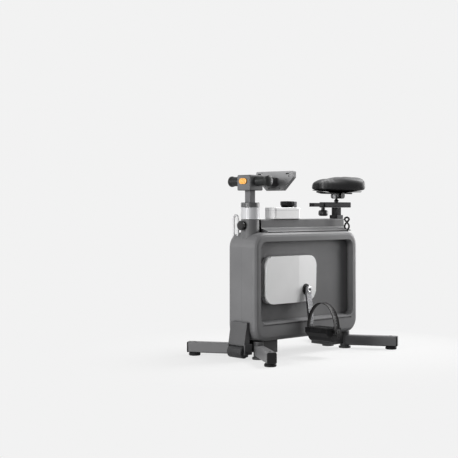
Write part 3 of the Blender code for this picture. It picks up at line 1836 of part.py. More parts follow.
def make_seat_rail(holder):
    """Outer rail: a box tube along the bike with a slot on top for the saddle post."""
    at = (0, UPRIGHT_Y, SEAT_FLANGE_TOP)
    bm = bmesh.new()
    rounded_block(bm, (-RAIL_HALF_WIDTH, RAIL_HALF_WIDTH), (RAIL_FRONT, RAIL_REAR),
                  (RAIL_BOTTOM, RAIL_TOP), 0.003, along=1, segments=2)
    rail = from_bmesh("seat_rail", bm, dark_grey(), at=at, holder=holder)
    inner = RAIL_HALF_WIDTH - RAIL_WALL
    hollow = block_object(
        "hollow_rail",
        (-inner, inner),
        (RAIL_FRONT - 0.01, RAIL_REAR - 0.003),
        (RAIL_BOTTOM + RAIL_WALL, RAIL_TOP - RAIL_WALL),
        cutter=True,
    )
    reach = SADDLE_POST_RADIUS + 0.002
    slot = block_object(
        "slot_rail",
        (-reach, reach),
        (UPRIGHT_Y - SEAT_TRAVEL - reach, UPRIGHT_Y + SEAT_TRAVEL + reach),
        (RAIL_TOP - 0.01, RAIL_TOP + 0.01),
        cutter=True,
    )
    screw = rod_object(
        "bore_rail_screw", "Z", (0, SLIDER_KNOB_Y + 0.010, RAIL_BOTTOM), 0.0045, 0.010, cutter=True
    )
    cut(rail, hollow, slot, screw)
    return rail


def make_slider(holder):
    """Inner slider that draws out of the rail's front end, with the saddle post on it."""
    at = (0, UPRIGHT_Y, RAIL_BOTTOM)
    inner = RAIL_HALF_WIDTH - RAIL_WALL - SLIDE_FIT
    low = RAIL_BOTTOM + RAIL_WALL + SLIDE_FIT
    high = RAIL_TOP - RAIL_WALL - SLIDE_FIT
    slider = block_object("seat_slider", (-inner, inner), (SLIDER_FRONT, SLIDER_REAR),
                          (low, high), soft_black(), at=at, holder=holder)
    return soften(slider, 0.001, 1, 50.0)


def make_slider_knob(holder):
    y = SLIDER_KNOB_Y + 0.010
    at = (0, y, SLIDER_KNOB_BOTTOM)
    knob_holder = pivot("axis_slider_knob", at, holder)
    r = SLIDER_KNOB_RADIUS
    high = SLIDER_KNOB_TOP - SLIDER_KNOB_BOTTOM
    neck_top = RAIL_BOTTOM - GAP - SLIDER_KNOB_BOTTOM
    knob = turned(
        "slider_knob",
        [
            (0.0, neck_top + 0.0028),
            (0.004, neck_top + 0.0028),
            (0.004, neck_top),
            (SLIDER_NECK_RADIUS, neck_top),
            (SLIDER_NECK_RADIUS, high + 0.001),
            (r - 0.006, high),
            (r - 0.001, high - 0.004),
            (r, high - 0.009),
            (r, 0.007),
            (r - 0.003, 0.002),
            (r - 0.008, 0.0),
            (0.0, 0.0),
        ],
        at,
        "Z",
        soft_black(),
        holder=knob_holder,
        steps=28,
    )
    return knob


def make_saddle_post(holder):
    """Bright post that rises from the slider to a cross barrel, the tilt axis."""
    low = RAIL_TOP - RAIL_WALL - SLIDE_FIT + GAP
    r = SADDLE_POST_RADIUS
    post = turned(
        "saddle_post",
        [
            (0.0, TILT_Z),
            (TILT_NECK_RADIUS, TILT_Z),
            (TILT_NECK_RADIUS, SADDLE_POST_TOP - 0.003),
            (r + 0.002, SADDLE_POST_TOP - 0.009),
            (r, SADDLE_POST_TOP - 0.012),
            (r, low),
            (0.0, low),
        ],
        (0, UPRIGHT_Y, 0),
        "Z",
        steel(),
        holder=holder,
        steps=24,
    )
    barrel = rod_object(
        "join_tilt_barrel",
        "X",
        (0, UPRIGHT_Y, TILT_Z),
        TILT_RADIUS,
        2 * TILT_HALF_LENGTH,
        cutter=True,
        sides=24,
    )
    join(post, barrel)
    return post


def make_saddle_clamp(holder, at):
    """Clamp that tilts on the post's barrel and grips both sides of the saddle wire."""
    y = UPRIGHT_Y + 0.002
    low = SADDLE_POST_TOP + GAP
    bm = bmesh.new()
    rounded_block(bm, (-0.024, 0.024), (y - 0.016, y + 0.020), (low + 0.004, SADDLE_RAIL_Z + 0.0035),
                  0.006, along=2, segments=2)
    clamp = from_bmesh("saddle_clamp", bm, soft_black(), at=at, holder=holder)
    soften(clamp, 0.002, 2, 50.0)
    cheek = rod_object(
        "join_clamp_cheeks",
        "X",
        (0, y + 0.008, low + CLAMP_CHEEK_RADIUS),
        CLAMP_CHEEK_RADIUS,
        2 * CLAMP_HALF_WIDTH,
        cutter=True,
    )
    grooves = bmesh.new()
    for side in (-1, 1):
        add_rod(grooves, "Y", (side * SADDLE_RAIL_X, y, SADDLE_RAIL_Z),
                SADDLE_RAIL_RADIUS + GAP, 0.1, 16)
    reach = TILT_HALF_LENGTH + 0.0008
    barrel = rod_object(
        "cut_tilt_barrel", "X", (0, UPRIGHT_Y, TILT_Z), TILT_RADIUS + TURN_FIT, 2 * reach,
        cutter=True, sides=24,
    )
    neck_half = TILT_NECK_RADIUS + 0.003
    neck = block_object(
        "cut_tilt_neck",
        (-neck_half, neck_half),
        (UPRIGHT_Y - neck_half, UPRIGHT_Y + neck_half),
        (low - 0.01, TILT_Z - 0.002),
        cutter=True,
    )
    join(clamp, cheek)
    cut(clamp, from_bmesh("clamp_grooves", grooves, cutter=True), barrel, neck)
    return clamp


def make_saddle_rails(holder, at):
    """One bent wire: level through the clamp on both sides, its bend held under the nose."""
    x = SADDLE_RAIL_X
    left = [
        (x + 0.004, SADDLE_TAIL - 0.044, SADDLE_RAIL_Z - 0.0005),
        (x, SADDLE_TAIL - 0.076, SADDLE_RAIL_Z),
        (x, SADDLE_NOSE + 0.090, SADDLE_RAIL_Z),
        (x - 0.004, SADDLE_NOSE + 0.065, SADDLE_RAIL_Z + 0.0005),
        (x - 0.009, SADDLE_NOSE + 0.040, SADDLE_RAIL_Z + 0.0040),
        (x - 0.014, SADDLE_NOSE + 0.027, SADDLE_RAIL_Z + 0.0050),
    ]
    right = [(-x, y, z) for x, y, z in reversed(left)]
    bm = wire("saddle_rail_wire", left + right, SADDLE_RAIL_RADIUS)
    rails = from_bmesh("saddle_rails", bm, steel(), at=at, holder=holder)
    return smooth(rails, 60.0)


SADDLE_STATIONS = (
    # distance from the nose, half width, then heights above the rails: underside, side, crown
    (0.000, 0.0130, 0.0160, 0.0245, 0.0305),
    (0.007, 0.0215, 0.0145, 0.0330, 0.0440),
    (0.024, 0.0270, 0.0135, 0.0390, 0.0530),
    (0.060, 0.0310, 0.0125, 0.0415, 0.0575),
    (0.100, 0.0410, 0.0115, 0.0430, 0.0605),
    (0.140, 0.0600, 0.0100, 0.0460, 0.0670),
    (0.178, 0.0790, 0.0080, 0.0500, 0.0730),
    (0.215, 0.0890, 0.0070, 0.0510, 0.0745),
    (0.245, 0.0860, 0.0075, 0.0460, 0.0700),
    (0.263, 0.0700, 0.0095, 0.0370, 0.0560),
)
SADDLE_LAST = (0.0480, 0.0140, 0.0290, 0.0390)
SADDLE_SECTION = (
    (0.0, 1.0),
    (0.30, 0.985),
    (0.58, 0.90),
    (0.82, 0.62),
    (0.97, 0.15),
    (1.0, -0.35),
    (0.955, -0.75),
    (0.88, -1.0),
)


def saddle_stations():
    last = (SADDLE_TAIL - SADDLE_NOSE,) + SADDLE_LAST
    stations = []
    for along, half, *heights in SADDLE_STATIONS + (last,):
        stations.append((SADDLE_NOSE + along, half, *(SADDLE_RAIL_Z + rise for rise in heights)))
    return stations


def saddle_ring(y, half, bottom, side, crown):
    """One cross-section of the saddle, as a closed ring of (x, y, z) points."""
    points = []
    for out, up in SADDLE_SECTION:
        z = side + (crown - side) * up if up > 0 else side + (side - bottom) * up
        points.append((out * half, y, z))
    return points + [(-x, w, z) for x, w, z in reversed(points[1:])]


def make_saddle_cushion(holder, at):
    """Padded saddle: a loft along the bike, crowned on top with drawn-in sides."""
    bm = bmesh.new()
    rings = []
    for station in saddle_stations():
        ring = [bm.verts.new(point) for point in saddle_ring(*station)]
        rings.append(ring)
    for one, two in zip(rings, rings[1:]):
        count = len(one)
        for step in range(count):
            after = (step + 1) % count
            bm.faces.new((one[step], one[after], two[after], two[step]))
    bm.faces.new(list(reversed(rings[0])))
    bm.faces.new(rings[-1])
    bmesh.ops.recalc_face_normals(bm, faces=bm.faces)
    cushion = from_bmesh("saddle_cushion", bm, saddle_black(), at=at, holder=holder)
    subdivide = cushion.modifiers.new("padding", "SUBSURF")
    subdivide.levels = 1
    subdivide.render_levels = 1
    cushion.data.shade_smooth()
    return cushion


def make_saddle_base(holder, at):
    """Moulded pan under the cushion, with sockets for the rail ends."""
    rings = []
    bm = bmesh.new()
    for y, half, bottom, _, _ in saddle_stations()[1:-1]:
        low = bottom - 0.0030
        high = bottom - 0.0006
        half *= 0.80
        ring = [(half, y, high), (-half, y, high), (-half * 0.94, y, low), (half * 0.94, y, low)]
        rings.append([bm.verts.new(point) for point in ring])
    for one, two in zip(rings, rings[1:]):
        for step in range(4):
            after = (step + 1) % 4
            bm.faces.new((one[step], one[after], two[after], two[step]))
    bm.faces.new(list(reversed(rings[0])))
    bm.faces.new(rings[-1])
    bmesh.ops.recalc_face_normals(bm, faces=bm.faces)
    return from_bmesh("saddle_base", bm, soft_black(), at=at, holder=holder)


def make_body():
    make_shell()
    make_core_frame()
    make_side_plates()
    make_top_beam()
    make_seat_flange()
    make_neck()
    make_pod()
    make_covers()
    make_cover_rings()
    make_front_loop()
    make_rear_loop()


def make_base():
    make_legs()
    make_end_caps()
    make_foot_frames()
    make_glides()
    make_roller_bracket()
    make_roller()


def make_drive():
    holder = crank_holder()
    make_axle(holder)
    make_crank_arms(holder)
    make_pedal(1, "left")
    make_pedal(-1, "right")
    make_flywheel()
    make_belt()
    make_magnet_carrier()


def make_controls():
    make_dial()
    make_neck_knob()
    holder = pivot("axis_handlebar", (0, -UPRIGHT_Y, SOCKET_TOP))
    make_handlebar_post(holder)
    make_head(holder)
    make_button(holder)
    make_grips(holder)
    make_console(holder)


def make_seat():
    column = pivot("axis_seat_height", (0, UPRIGHT_Y, SEAT_FLANGE_TOP))
    make_seat_column(column)
    make_seat_rail(column)
    slide = pivot("axis_seat_slide", (0, UPRIGHT_Y, RAIL_BOTTOM), column)
    make_slider(slide)
    make_saddle_post(slide)
    make_slider_knob(column)
    at = (0, UPRIGHT_Y, TILT_Z)
    tilt = pivot("axis_saddle_tilt", at, slide)
    make_saddle_clamp(tilt, at)
    make_saddle_rails(tilt, at)
    make_saddle_base(tilt, at)
    make_saddle_cushion(tilt, at)


def main():
    clear_scene()
    make_body()
    make_base()
    make_drive()
    make_controls()
    make_seat()


main()
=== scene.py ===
"""Looks of the desk exercise bike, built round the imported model.

Sizes and places are in metres. The rider's left is +X, the front is -Y and up is +Z.
"""

import json
import math

import bmesh
import bpy
from mathutils import Matrix, Vector


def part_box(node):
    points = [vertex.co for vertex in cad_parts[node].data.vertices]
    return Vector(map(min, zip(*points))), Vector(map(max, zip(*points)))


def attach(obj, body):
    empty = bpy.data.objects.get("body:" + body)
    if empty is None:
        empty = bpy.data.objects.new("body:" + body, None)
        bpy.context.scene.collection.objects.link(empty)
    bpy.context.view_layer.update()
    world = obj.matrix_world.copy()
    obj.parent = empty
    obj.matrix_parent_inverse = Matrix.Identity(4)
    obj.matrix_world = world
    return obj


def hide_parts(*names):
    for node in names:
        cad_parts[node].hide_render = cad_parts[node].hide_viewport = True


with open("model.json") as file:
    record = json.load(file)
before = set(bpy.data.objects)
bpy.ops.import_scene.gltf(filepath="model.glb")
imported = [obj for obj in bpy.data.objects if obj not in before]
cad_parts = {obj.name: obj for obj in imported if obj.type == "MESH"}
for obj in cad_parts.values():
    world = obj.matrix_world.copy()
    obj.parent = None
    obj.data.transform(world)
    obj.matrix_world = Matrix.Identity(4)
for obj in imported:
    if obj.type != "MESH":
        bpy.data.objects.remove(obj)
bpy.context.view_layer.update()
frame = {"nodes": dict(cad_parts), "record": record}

SIDES = (("left", 1), ("right", -1))
CORNERS = ("front_left", "front_right", "rear_left", "rear_right")


# Materials


NOISE_LOW, NOISE_HIGH = 0.3, 0.7  # nearly all of a noise lies between these
EDGE_FROM, EDGE_TO = 0.995, 0.90
# Range of the light painted on faces that look up
TOP_LIGHT_FROM, TOP_LIGHT_TO = 0.88, 0.96
# Range, reach and tone of the shade painted into corners and recesses
CORNER_SHADE_FROM, CORNER_SHADE_TO = 0.72, 0.30
CORNER_SHADE_REACH = 0.03
CORNER_SHADE_TONE = 0.4
# Widths of the pale lines painted as highlights down an extrusion
HIGHLIGHT_LINE_OUTER, HIGHLIGHT_LINE_INNER = 0.0013, 0.0006
# Colour of the highlight painted along metal edges
PAINTED_EDGE_HIGHLIGHT = (246, 246, 247)


def linear(value):
    """One part of a colour, from the 0 to 255 of a screen to the share of light it stands for."""
    value /= 255.0
    return value / 12.92 if value <= 0.04045 else ((value + 0.055) / 1.055) ** 2.4


def colour(rgb):
    return (linear(rgb[0]), linear(rgb[1]), linear(rgb[2]), 1.0)


def shade(rgb, step):
    """The colour made lighter by a step, or darker where the step is below 0."""
    return tuple(min(255, max(0, value + step)) for value in rgb)


class Paint:
    """A node material: a Principled shader with helpers for colour, roughness and bump."""

    def __init__(self, name, rough, metallic=0.0, specular=0.5, coat=0.0, coat_rough=0.2):
        self.material = bpy.data.materials.new(name)
        self.material.use_nodes = True
        self.nodes = self.material.node_tree.nodes
        self.links = self.material.node_tree.links
        self.shader = self.nodes["Principled BSDF"]
        self.shader.inputs["Roughness"].default_value = rough
        self.shader.inputs["Metallic"].default_value = metallic
        self.shader.inputs["Specular IOR Level"].default_value = specular
        self.shader.inputs["Coat Weight"].default_value = coat
        self.shader.inputs["Coat Roughness"].default_value = coat_rough
        self.place = self.nodes.new("ShaderNodeTexCoord")
        self.height = None

    def noise(self, scale, detail, roughness=0.55, stretch=None):
        """Soft noise in the form's own coordinates, scale to the metre."""
        texture = self.nodes.new("ShaderNodeTexNoise")
        texture.inputs["Scale"].default_value = scale
        texture.inputs["Detail"].default_value = detail
        texture.inputs["Roughness"].default_value = roughness
        source = self.place.outputs["Object"]
        if stretch:
            mapping = self.nodes.new("ShaderNodeMapping")
            mapping.inputs["Scale"].default_value = stretch
            self.links.new(source, mapping.inputs["Vector"])
            source = mapping.outputs["Vector"]
        self.links.new(source, texture.inputs["Vector"])
        return texture.outputs["Fac"]

    def cells(self, scale):
        """The distance to the middle of the nearest cell, for pebbled surfaces."""
        texture = self.nodes.new("ShaderNodeTexVoronoi")
        texture.inputs["Scale"].default_value = scale
        self.links.new(self.place.outputs["Object"], texture.inputs["Vector"])
        return texture.outputs["Distance"]

    def ramp(self, source, low, high, start, end):
        """Turns a source's start to end into low to high."""
        made = self.nodes.new("ShaderNodeMapRange")
        made.inputs["From Min"].default_value = start
        made.inputs["From Max"].default_value = end
        made.inputs["To Min"].default_value = low
        made.inputs["To Max"].default_value = high
        self.links.new(source, made.inputs["Value"])
        return made.outputs["Result"]

    def tint(self, source, one, two):
        """A colour that drifts between two with the source."""
        made = self.nodes.new("ShaderNodeMix")
        made.data_type = "RGBA"
        made.inputs["A"].default_value = colour(one)
        made.inputs["B"].default_value = colour(two)
        self.links.new(self.ramp(source, 0.0, 1.0, NOISE_LOW, NOISE_HIGH), made.inputs["Factor"])
        return made.outputs["Result"]

    def over(self, base, source, rgb, start, end):
        """Lays rgb over the base colour where source rises from start to end."""
        made = self.nodes.new("ShaderNodeMix")
        made.data_type = "RGBA"
        made.inputs["B"].default_value = colour(rgb)
        self.links.new(base, made.inputs["A"])
        self.links.new(self.ramp(source, 0.0, 1.0, start, end), made.inputs["Factor"])
        return made.outputs["Result"]

    def edge_wear_and_highlight(self, base, rgb, reach=0.0012):
        """Lays rgb over the base colour along the edges of the form: rubbed wear on plastic, coating and
        rubber, a painted highlight on metal.
        """
        rounded = self.nodes.new("ShaderNodeBevel")
        rounded.samples = 4
        rounded.inputs["Radius"].default_value = reach
        plain = self.nodes.new("ShaderNodeNewGeometry")
        same = self.nodes.new("ShaderNodeVectorMath")
        same.operation = "DOT_PRODUCT"
        self.links.new(rounded.outputs["Normal"], same.inputs[0])
        self.links.new(plain.outputs["Normal"], same.inputs[1])
        edge = self.ramp(same.outputs["Value"], 0.0, 1.0, EDGE_FROM, EDGE_TO)
        return self.over(base, edge, rgb, 0.0, 1.0)

    def upward(self):
        """The height part of the surface's direction: 1 where it faces up."""
        plain = self.nodes.new("ShaderNodeNewGeometry")
        made = self.nodes.new("ShaderNodeSeparateXYZ")
        self.links.new(plain.outputs["Normal"], made.inputs[0])
        return made.outputs["Z"]

    def painted_top_light(self, base, rgb):
        """Lays rgb over the base colour where the surface is close to level, as painted light on faces that
        look up.
        """
        return self.over(base, self.upward(), rgb, TOP_LIGHT_FROM, TOP_LIGHT_TO)

    def painted_highlight_lines(self, base, spacing, offset, rgb):
        """Lays rgb over the base colour in evenly spaced lines down an extrusion, painted highlights
        standing in for light caught by its ribbing.
        """
        parts = self.nodes.new("ShaderNodeSeparateXYZ")
        self.links.new(self.place.outputs["Object"], parts.inputs[0])
        moved = self.nodes.new("ShaderNodeMath")
        moved.operation = "SUBTRACT"
        moved.inputs[1].default_value = offset
        self.links.new(parts.outputs["X"], moved.inputs[0])
        folded = self.nodes.new("ShaderNodeMath")
        folded.operation = "PINGPONG"
        folded.inputs[1].default_value = spacing / 2
        self.links.new(moved.outputs[0], folded.inputs[0])
        return self.over(base, folded.outputs[0], rgb, HIGHLIGHT_LINE_OUTER, HIGHLIGHT_LINE_INNER)

    def corners(self, base, rgb):
        """Paints shade into the base colour where surfaces close in on each other."""
        made = self.nodes.new("ShaderNodeAmbientOcclusion")
        made.samples = 6
        made.inputs["Distance"].default_value = CORNER_SHADE_REACH
        dark = tuple(int(value * CORNER_SHADE_TONE) for value in rgb)
        return self.over(base, made.outputs["AO"], dark, CORNER_SHADE_FROM, CORNER_SHADE_TO)

    def base(self, source):
        self.links.new(source, self.shader.inputs["Base Color"])

    def gloss(self, source, low, high):
        """Lets the roughness drift from low to high with the source."""
        rough = self.ramp(source, low, high, NOISE_LOW, NOISE_HIGH)
        self.links.new(rough, self.shader.inputs["Roughness"])

    def bump(self, source, distance):
        """Raises the surface by up to a distance in metres, on top of earlier bumps."""
        made = self.nodes.new("ShaderNodeBump")
        made.inputs["Distance"].default_value = distance
        self.links.new(source, made.inputs["Height"])
        if self.height:
            self.links.new(self.height, made.inputs["Normal"])
        self.height = made.outputs["Normal"]
        self.links.new(self.height, self.shader.inputs["Normal"])


def moulded(name, rgb, rough, grain=0.00006, spread=4, specular=0.45, edge=14, painted_top_light=None):
    """Injection-moulded plastic: fine pebble grain, slow tone change, paler edges."""
    paint = Paint(name, rough, specular=specular)
    base = paint.tint(paint.noise(6.0, 3.0), shade(rgb, -spread), shade(rgb, spread))
    base = paint.edge_wear_and_highlight(base, shade(rgb, edge))
    # Painted top light: paler where the surface faces up
    if painted_top_light:
        base = paint.painted_top_light(base, painted_top_light)
    # Painted shade in corners and recesses
    paint.base(paint.corners(base, rgb))
    paint.gloss(paint.noise(40.0, 3.0), rough - 0.04, rough + 0.04)
    paint.bump(paint.noise(900.0, 2.0, 0.6), grain)
    return paint.material


def coated(name, rgb, rough, specular=0.28, painted_top_light=None, lines=None):
    """Powder-coated steel: orange peel, faint mottling, slightly rubbed edges."""
    paint = Paint(name, rough, specular=specular, coat=0.04, coat_rough=0.35)
    base = paint.tint(paint.noise(9.0, 4.0), shade(rgb, -4), shade(rgb, 4))
    speck = paint.noise(1400.0, 1.0)
    base = paint.over(base, speck, shade(rgb, 26), 0.68, 0.8)
    base = paint.edge_wear_and_highlight(base, shade(rgb, 22))
    # Painted top light: paler where the surface faces up
    if painted_top_light:
        base = paint.painted_top_light(base, painted_top_light)
    if lines:
        # Painted highlight lines down the extrusion
        base = paint.painted_highlight_lines(base, *lines)
    # Painted shade in corners and recesses
    paint.base(paint.corners(base, rgb))
    paint.gloss(paint.noise(60.0, 3.0), rough - 0.05, rough + 0.05)
    paint.bump(paint.noise(420.0, 2.0, 0.5), 0.00012)
    paint.bump(speck, 0.00003)
    return paint.material


def glossy(name, rgb, rough, specular=0.5):
    """Smooth housing plastic under a thin clear coat, with faint darker flecks."""
    paint = Paint(name, rough, specular=specular, coat=0.25, coat_rough=0.15)
    base = paint.tint(paint.noise(7.0, 2.0), shade(rgb, -3), shade(rgb, 3))
    paint.base(paint.over(base, paint.noise(160.0, 5.0, 0.7), shade(rgb, -7), 0.62, 0.9))
    paint.gloss(paint.noise(30.0, 4.0), rough - 0.04, rough + 0.05)
    paint.bump(paint.noise(700.0, 2.0), 0.000015)
    return paint.material


def rubber(name, rgb, rough, specular=0.18):
    """Moulded rubber: fine stipple, mottled tone, paler edges."""
    paint = Paint(name, rough, specular=specular)
    base = paint.tint(paint.noise(35.0, 5.0, 0.65), shade(rgb, -4), shade(rgb, 6))
    paint.base(paint.edge_wear_and_highlight(base, shade(rgb, 12)))
    paint.gloss(paint.noise(50.0, 3.0), rough - 0.1, rough + 0.08)
    paint.bump(paint.cells(1300.0), 0.00008)
    return paint.material


def leather(name, rgb, top, rough):
    """Saddle cover: pebbled grain and soft creases, painted paler on top as light falling from above."""
    paint = Paint(name, rough, specular=0.2)
    base = paint.tint(paint.noise(14.0, 4.0), shade(rgb, -5), shade(rgb, 6))
    pebble = paint.cells(620.0)
    base = paint.over(base, pebble, shade(rgb, 10), 0.35, 0.75)
    # Painted top light: the cover grows paler as it faces up
    paint.base(paint.over(base, paint.upward(), top, 0.0, 0.85))
    paint.gloss(paint.noise(25.0, 3.0), rough - 0.05, rough + 0.05)
    paint.bump(pebble, 0.00004)
    paint.bump(paint.noise(60.0, 3.0, 0.5), 0.00004)
    return paint.material


def metal(name, rgb, rough, stretch=(40.0, 40.0, 900.0), metallic=1.0, specular=0.5):
    """Turned or brushed metal with streaks along its finish and painted highlights on its edges."""
    paint = Paint(name, rough, metallic=metallic, specular=specular)
    streak = paint.noise(1.0, 3.0, 0.6, stretch)
    base = paint.tint(streak, shade(rgb, -10), shade(rgb, 6))
    # Painted highlight along the metal's edges
    paint.base(paint.edge_wear_and_highlight(base, PAINTED_EDGE_HIGHLIGHT, 0.0016))
    paint.gloss(streak, rough - 0.06, rough + 0.1)
    paint.bump(streak, 0.00002)
    return paint.material


def cast(name, rgb, rough):
    """Cast iron: grainy skin with darker pores."""
    paint = Paint(name, rough, metallic=0.8)
    grain = paint.noise(300.0, 5.0, 0.7)
    paint.base(paint.tint(grain, shade(rgb, -14), shade(rgb, 10)))
    paint.gloss(grain, rough - 0.1, rough + 0.1)
    paint.bump(grain, 0.00015)
    return paint.material


# The shell is painted paler on its upward faces, as light from above
SHELL = moulded("shell plastic", (109, 109, 110), 0.5, 0.00002, specular=0.26, painted_top_light=(118, 118, 119))
PANEL = moulded("console plastic", (146, 146, 147), 0.48, specular=0.3)
HEAD = moulded("head plastic", (92, 92, 93), 0.46, specular=0.3)
DARK = moulded("dark plastic", (31, 31, 32), 0.45, 0.00004, specular=0.06, edge=22)
COLLAR = moulded("collar plastic", (70, 70, 71), 0.34, 0.00005, specular=0.35)
BLACK = moulded("black plastic", (17, 17, 18), 0.3, 0.00004, spread=2, specular=0.24, edge=16)
TREAD = moulded("pedal plastic", (19, 19, 20), 0.52, 0.00005, spread=2, specular=0.1, edge=16)
LUG = moulded("lug plastic", (128, 128, 130), 0.45, 0.00005, specular=0.3)
KNOB = moulded("polished black plastic", (14, 14, 15), 0.16, 0.00002, spread=2, specular=0.5, edge=20)
PALE = moulded("pale mark", (190, 190, 192), 0.5)
SEAM = moulded("seam shadow", (178, 178, 180), 0.7)
WHITE = glossy("white plastic", (244, 244, 244), 0.36)
LOOP = glossy("pale loop plastic", (188, 188, 189), 0.45)
ORANGE = glossy("orange plastic", (238, 168, 58), 0.36)
GLASS = glossy("display glass", (14, 15, 17), 0.24, specular=0.3)
FRAME = coated("grey coating", (106, 106, 107), 0.42, 0.22)
BRACKET = coated("bracket coating", (76, 76, 77), 0.36)
# The beam is painted paler on its upward faces, as light from above
BEAM = coated("beam coating", (94, 94, 95), 0.46, 0.2, painted_top_light=(116, 116, 117))
POST = coated("post coating", (98, 98, 100), 0.42, 0.2)
# The mast's pale lines are painted highlights
MAST = coated("mast coating", (30, 30, 31), 0.5, 0.04, lines=(0.0110, 0.0005, (96, 96, 97)))
RUBBER = rubber("black rubber", (15, 15, 16), 0.7)
GRIP = rubber("grip rubber", (34, 35, 35), 0.42)
CORD = rubber("loop cord", (26, 26, 27), 0.5)
STRAP = rubber("strap rubber", (22, 21, 21), 0.62)
MATTE = rubber("matte black", (15, 15, 16), 0.85, 0.0)
ROLLER = rubber("roller rubber", (50, 50, 51), 0.55)
# The saddle's second colour is painted light on its top
SADDLE = leather("saddle cover", (32, 32, 33), (92, 92, 93), 0.50)
STEEL = metal("bright steel", (126, 126, 128), 0.24)
CHROME = metal("chrome", (226, 226, 228), 0.12)
SLEEVE = metal("satin sleeve", (186, 186, 188), 0.42, (600.0, 600.0, 12.0), metallic=0.12, specular=0.2)
CAST = cast("cast iron", (70, 70, 72), 0.6)


def cover(mesh, material):
    """Gives a mesh one material, in place of any it had."""
    mesh.materials.clear()
    mesh.materials.append(material)


def dress(material, *nodes):
    """Gives CAD nodes their node material."""
    for name in nodes:
        cover(frame["nodes"][name].data, material)


dress(SHELL, "shell_left", "shell_right")
dress(FRAME, "core_frame", "side_plate_left", "side_plate_right")
dress(FRAME, *("leg_" + corner for corner in CORNERS))
dress(BRACKET, "roller_bracket", "foot_frame_front", "foot_frame_rear")
dress(BEAM, "top_beam", "neck_socket")
dress(POST, "handlebar_post")
dress(MAST, "seat_column", "seat_flange")
dress(COLLAR, "neck_collar")
dress(DARK, "seat_rail", "seat_slider", "resistance_dial")
dress(HEAD, "head_block")
dress(PANEL, "console_panel")
dress(WHITE, "cover_left", "cover_right", "control_pod")
dress(LOOP, "carry_loop_front")
dress(KNOB, "neck_knob")
dress(BLACK, "cover_ring_left", "cover_ring_right")
dress(BLACK, "slider_knob", "saddle_clamp", "saddle_rails", "saddle_post")
dress(BLACK, *("end_cap_" + corner for corner in CORNERS))
dress(TREAD, "pedal_left", "pedal_right")
dress(RUBBER, "drive_belt", *("glide_" + corner for corner in CORNERS))
dress(ROLLER, "front_roller")
dress(MATTE, "saddle_base")
dress(STEEL, "crank_axle", "crank_arm_left", "crank_arm_right")
dress(SLEEVE, "neck_sleeve")
dress(CAST, "flywheel", "magnet_carrier")
dress(ORANGE, "release_button")


# Camera, light and floor


CAMERA_AT = (3.2075, -3.4215, 0.63)
CAMERA_WAY = Vector((-0.7275, 0.6861, 0.0))
CAMERA_SENSOR = 36.0
CAMERA_LENS = 84.1
CAMERA_SHIFT = -0.0459
BACKGROUND = (242, 242, 242)
WORLD_LIGHT = 0.03
FLOOR_SEEN = (236, 236, 236)
FLOOR_BOUNCE = (34, 34, 34)
FLOOR_SIZE = 30.0
FLOOR_DROP = 0.0005
FLOOR_NEAR = 0.78
FADE_START, FADE_END = 0.40, 1.0
LOW_MIDDLE = (0.0, 0.0, 0.35)


def add_object(name, data):
    """Puts a mesh, camera or light in the scene."""
    made = bpy.data.objects.new(name, data)
    bpy.context.scene.collection.objects.link(made)
    return made


def to_mesh(name, bm):
    """Turns a finished form into a mesh."""
    mesh = bpy.data.meshes.new(name)
    bm.to_mesh(mesh)
    bm.free()
    return mesh


def add_camera():
    """A level camera, placed and shifted so that it sees the bike as the photograph does."""
    data = bpy.data.cameras.new("camera")
    data.sensor_width = CAMERA_SENSOR
    data.lens = CAMERA_LENS
    data.shift_y = CAMERA_SHIFT
    made = add_object("camera", data)
    made.location = CAMERA_AT
    made.rotation_euler = CAMERA_WAY.to_track_quat("-Z", "Y").to_euler()
    bpy.context.scene.camera = made


def add_area(name, at, target, size, power):
    """A rectangular lamp that looks at its target."""
    data = bpy.data.lights.new(name, "AREA")
    data.shape = "RECTANGLE"
    data.size = size[0]
    data.size_y = size[1]
    data.energy = power
    made = add_object(name, data)
    made.location = at
    way = Vector(target) - Vector(at)
    made.rotation_euler = way.to_track_quat("-Z", "Y").to_euler()


def seen_mix(tree, shown, hidden):
    """Mixes two shaders: shown where the camera, a mirror or glass looks, hidden elsewhere."""
    path = tree.nodes.new("ShaderNodeLightPath")
    either = tree.nodes.new("ShaderNodeMath")
    either.operation = "MAXIMUM"
    third = tree.nodes.new("ShaderNodeMath")
    third.operation = "MAXIMUM"
    tree.links.new(path.outputs["Is Camera Ray"], either.inputs[0])
    tree.links.new(path.outputs["Is Glossy Ray"], either.inputs[1])
    tree.links.new(either.outputs[0], third.inputs[0])
    tree.links.new(path.outputs["Is Transmission Ray"], third.inputs[1])
    mix = tree.nodes.new("ShaderNodeMixShader")
    tree.links.new(third.outputs[0], mix.inputs["Fac"])
    tree.links.new(hidden, mix.inputs[1])
    tree.links.new(shown, mix.inputs[2])
    return mix.outputs[0]


def add_world():
    """A plain pale background that gives very little light of its own."""
    world = bpy.data.worlds.new("studio")
    bpy.context.scene.world = world
    world.use_nodes = True
    tree = world.node_tree
    back = tree.nodes["Background"]
    back.inputs["Color"].default_value = (1.0, 1.0, 1.0, 1.0)
    back.inputs["Strength"].default_value = WORLD_LIGHT
    shown = tree.nodes.new("ShaderNodeBackground")
    shown.inputs["Color"].default_value = colour(BACKGROUND)
    shown.inputs["Strength"].default_value = 1.0
    output = tree.nodes["World Output"]
    tree.links.new(seen_mix(tree, shown.outputs[0], back.outputs[0]), output.inputs["Surface"])


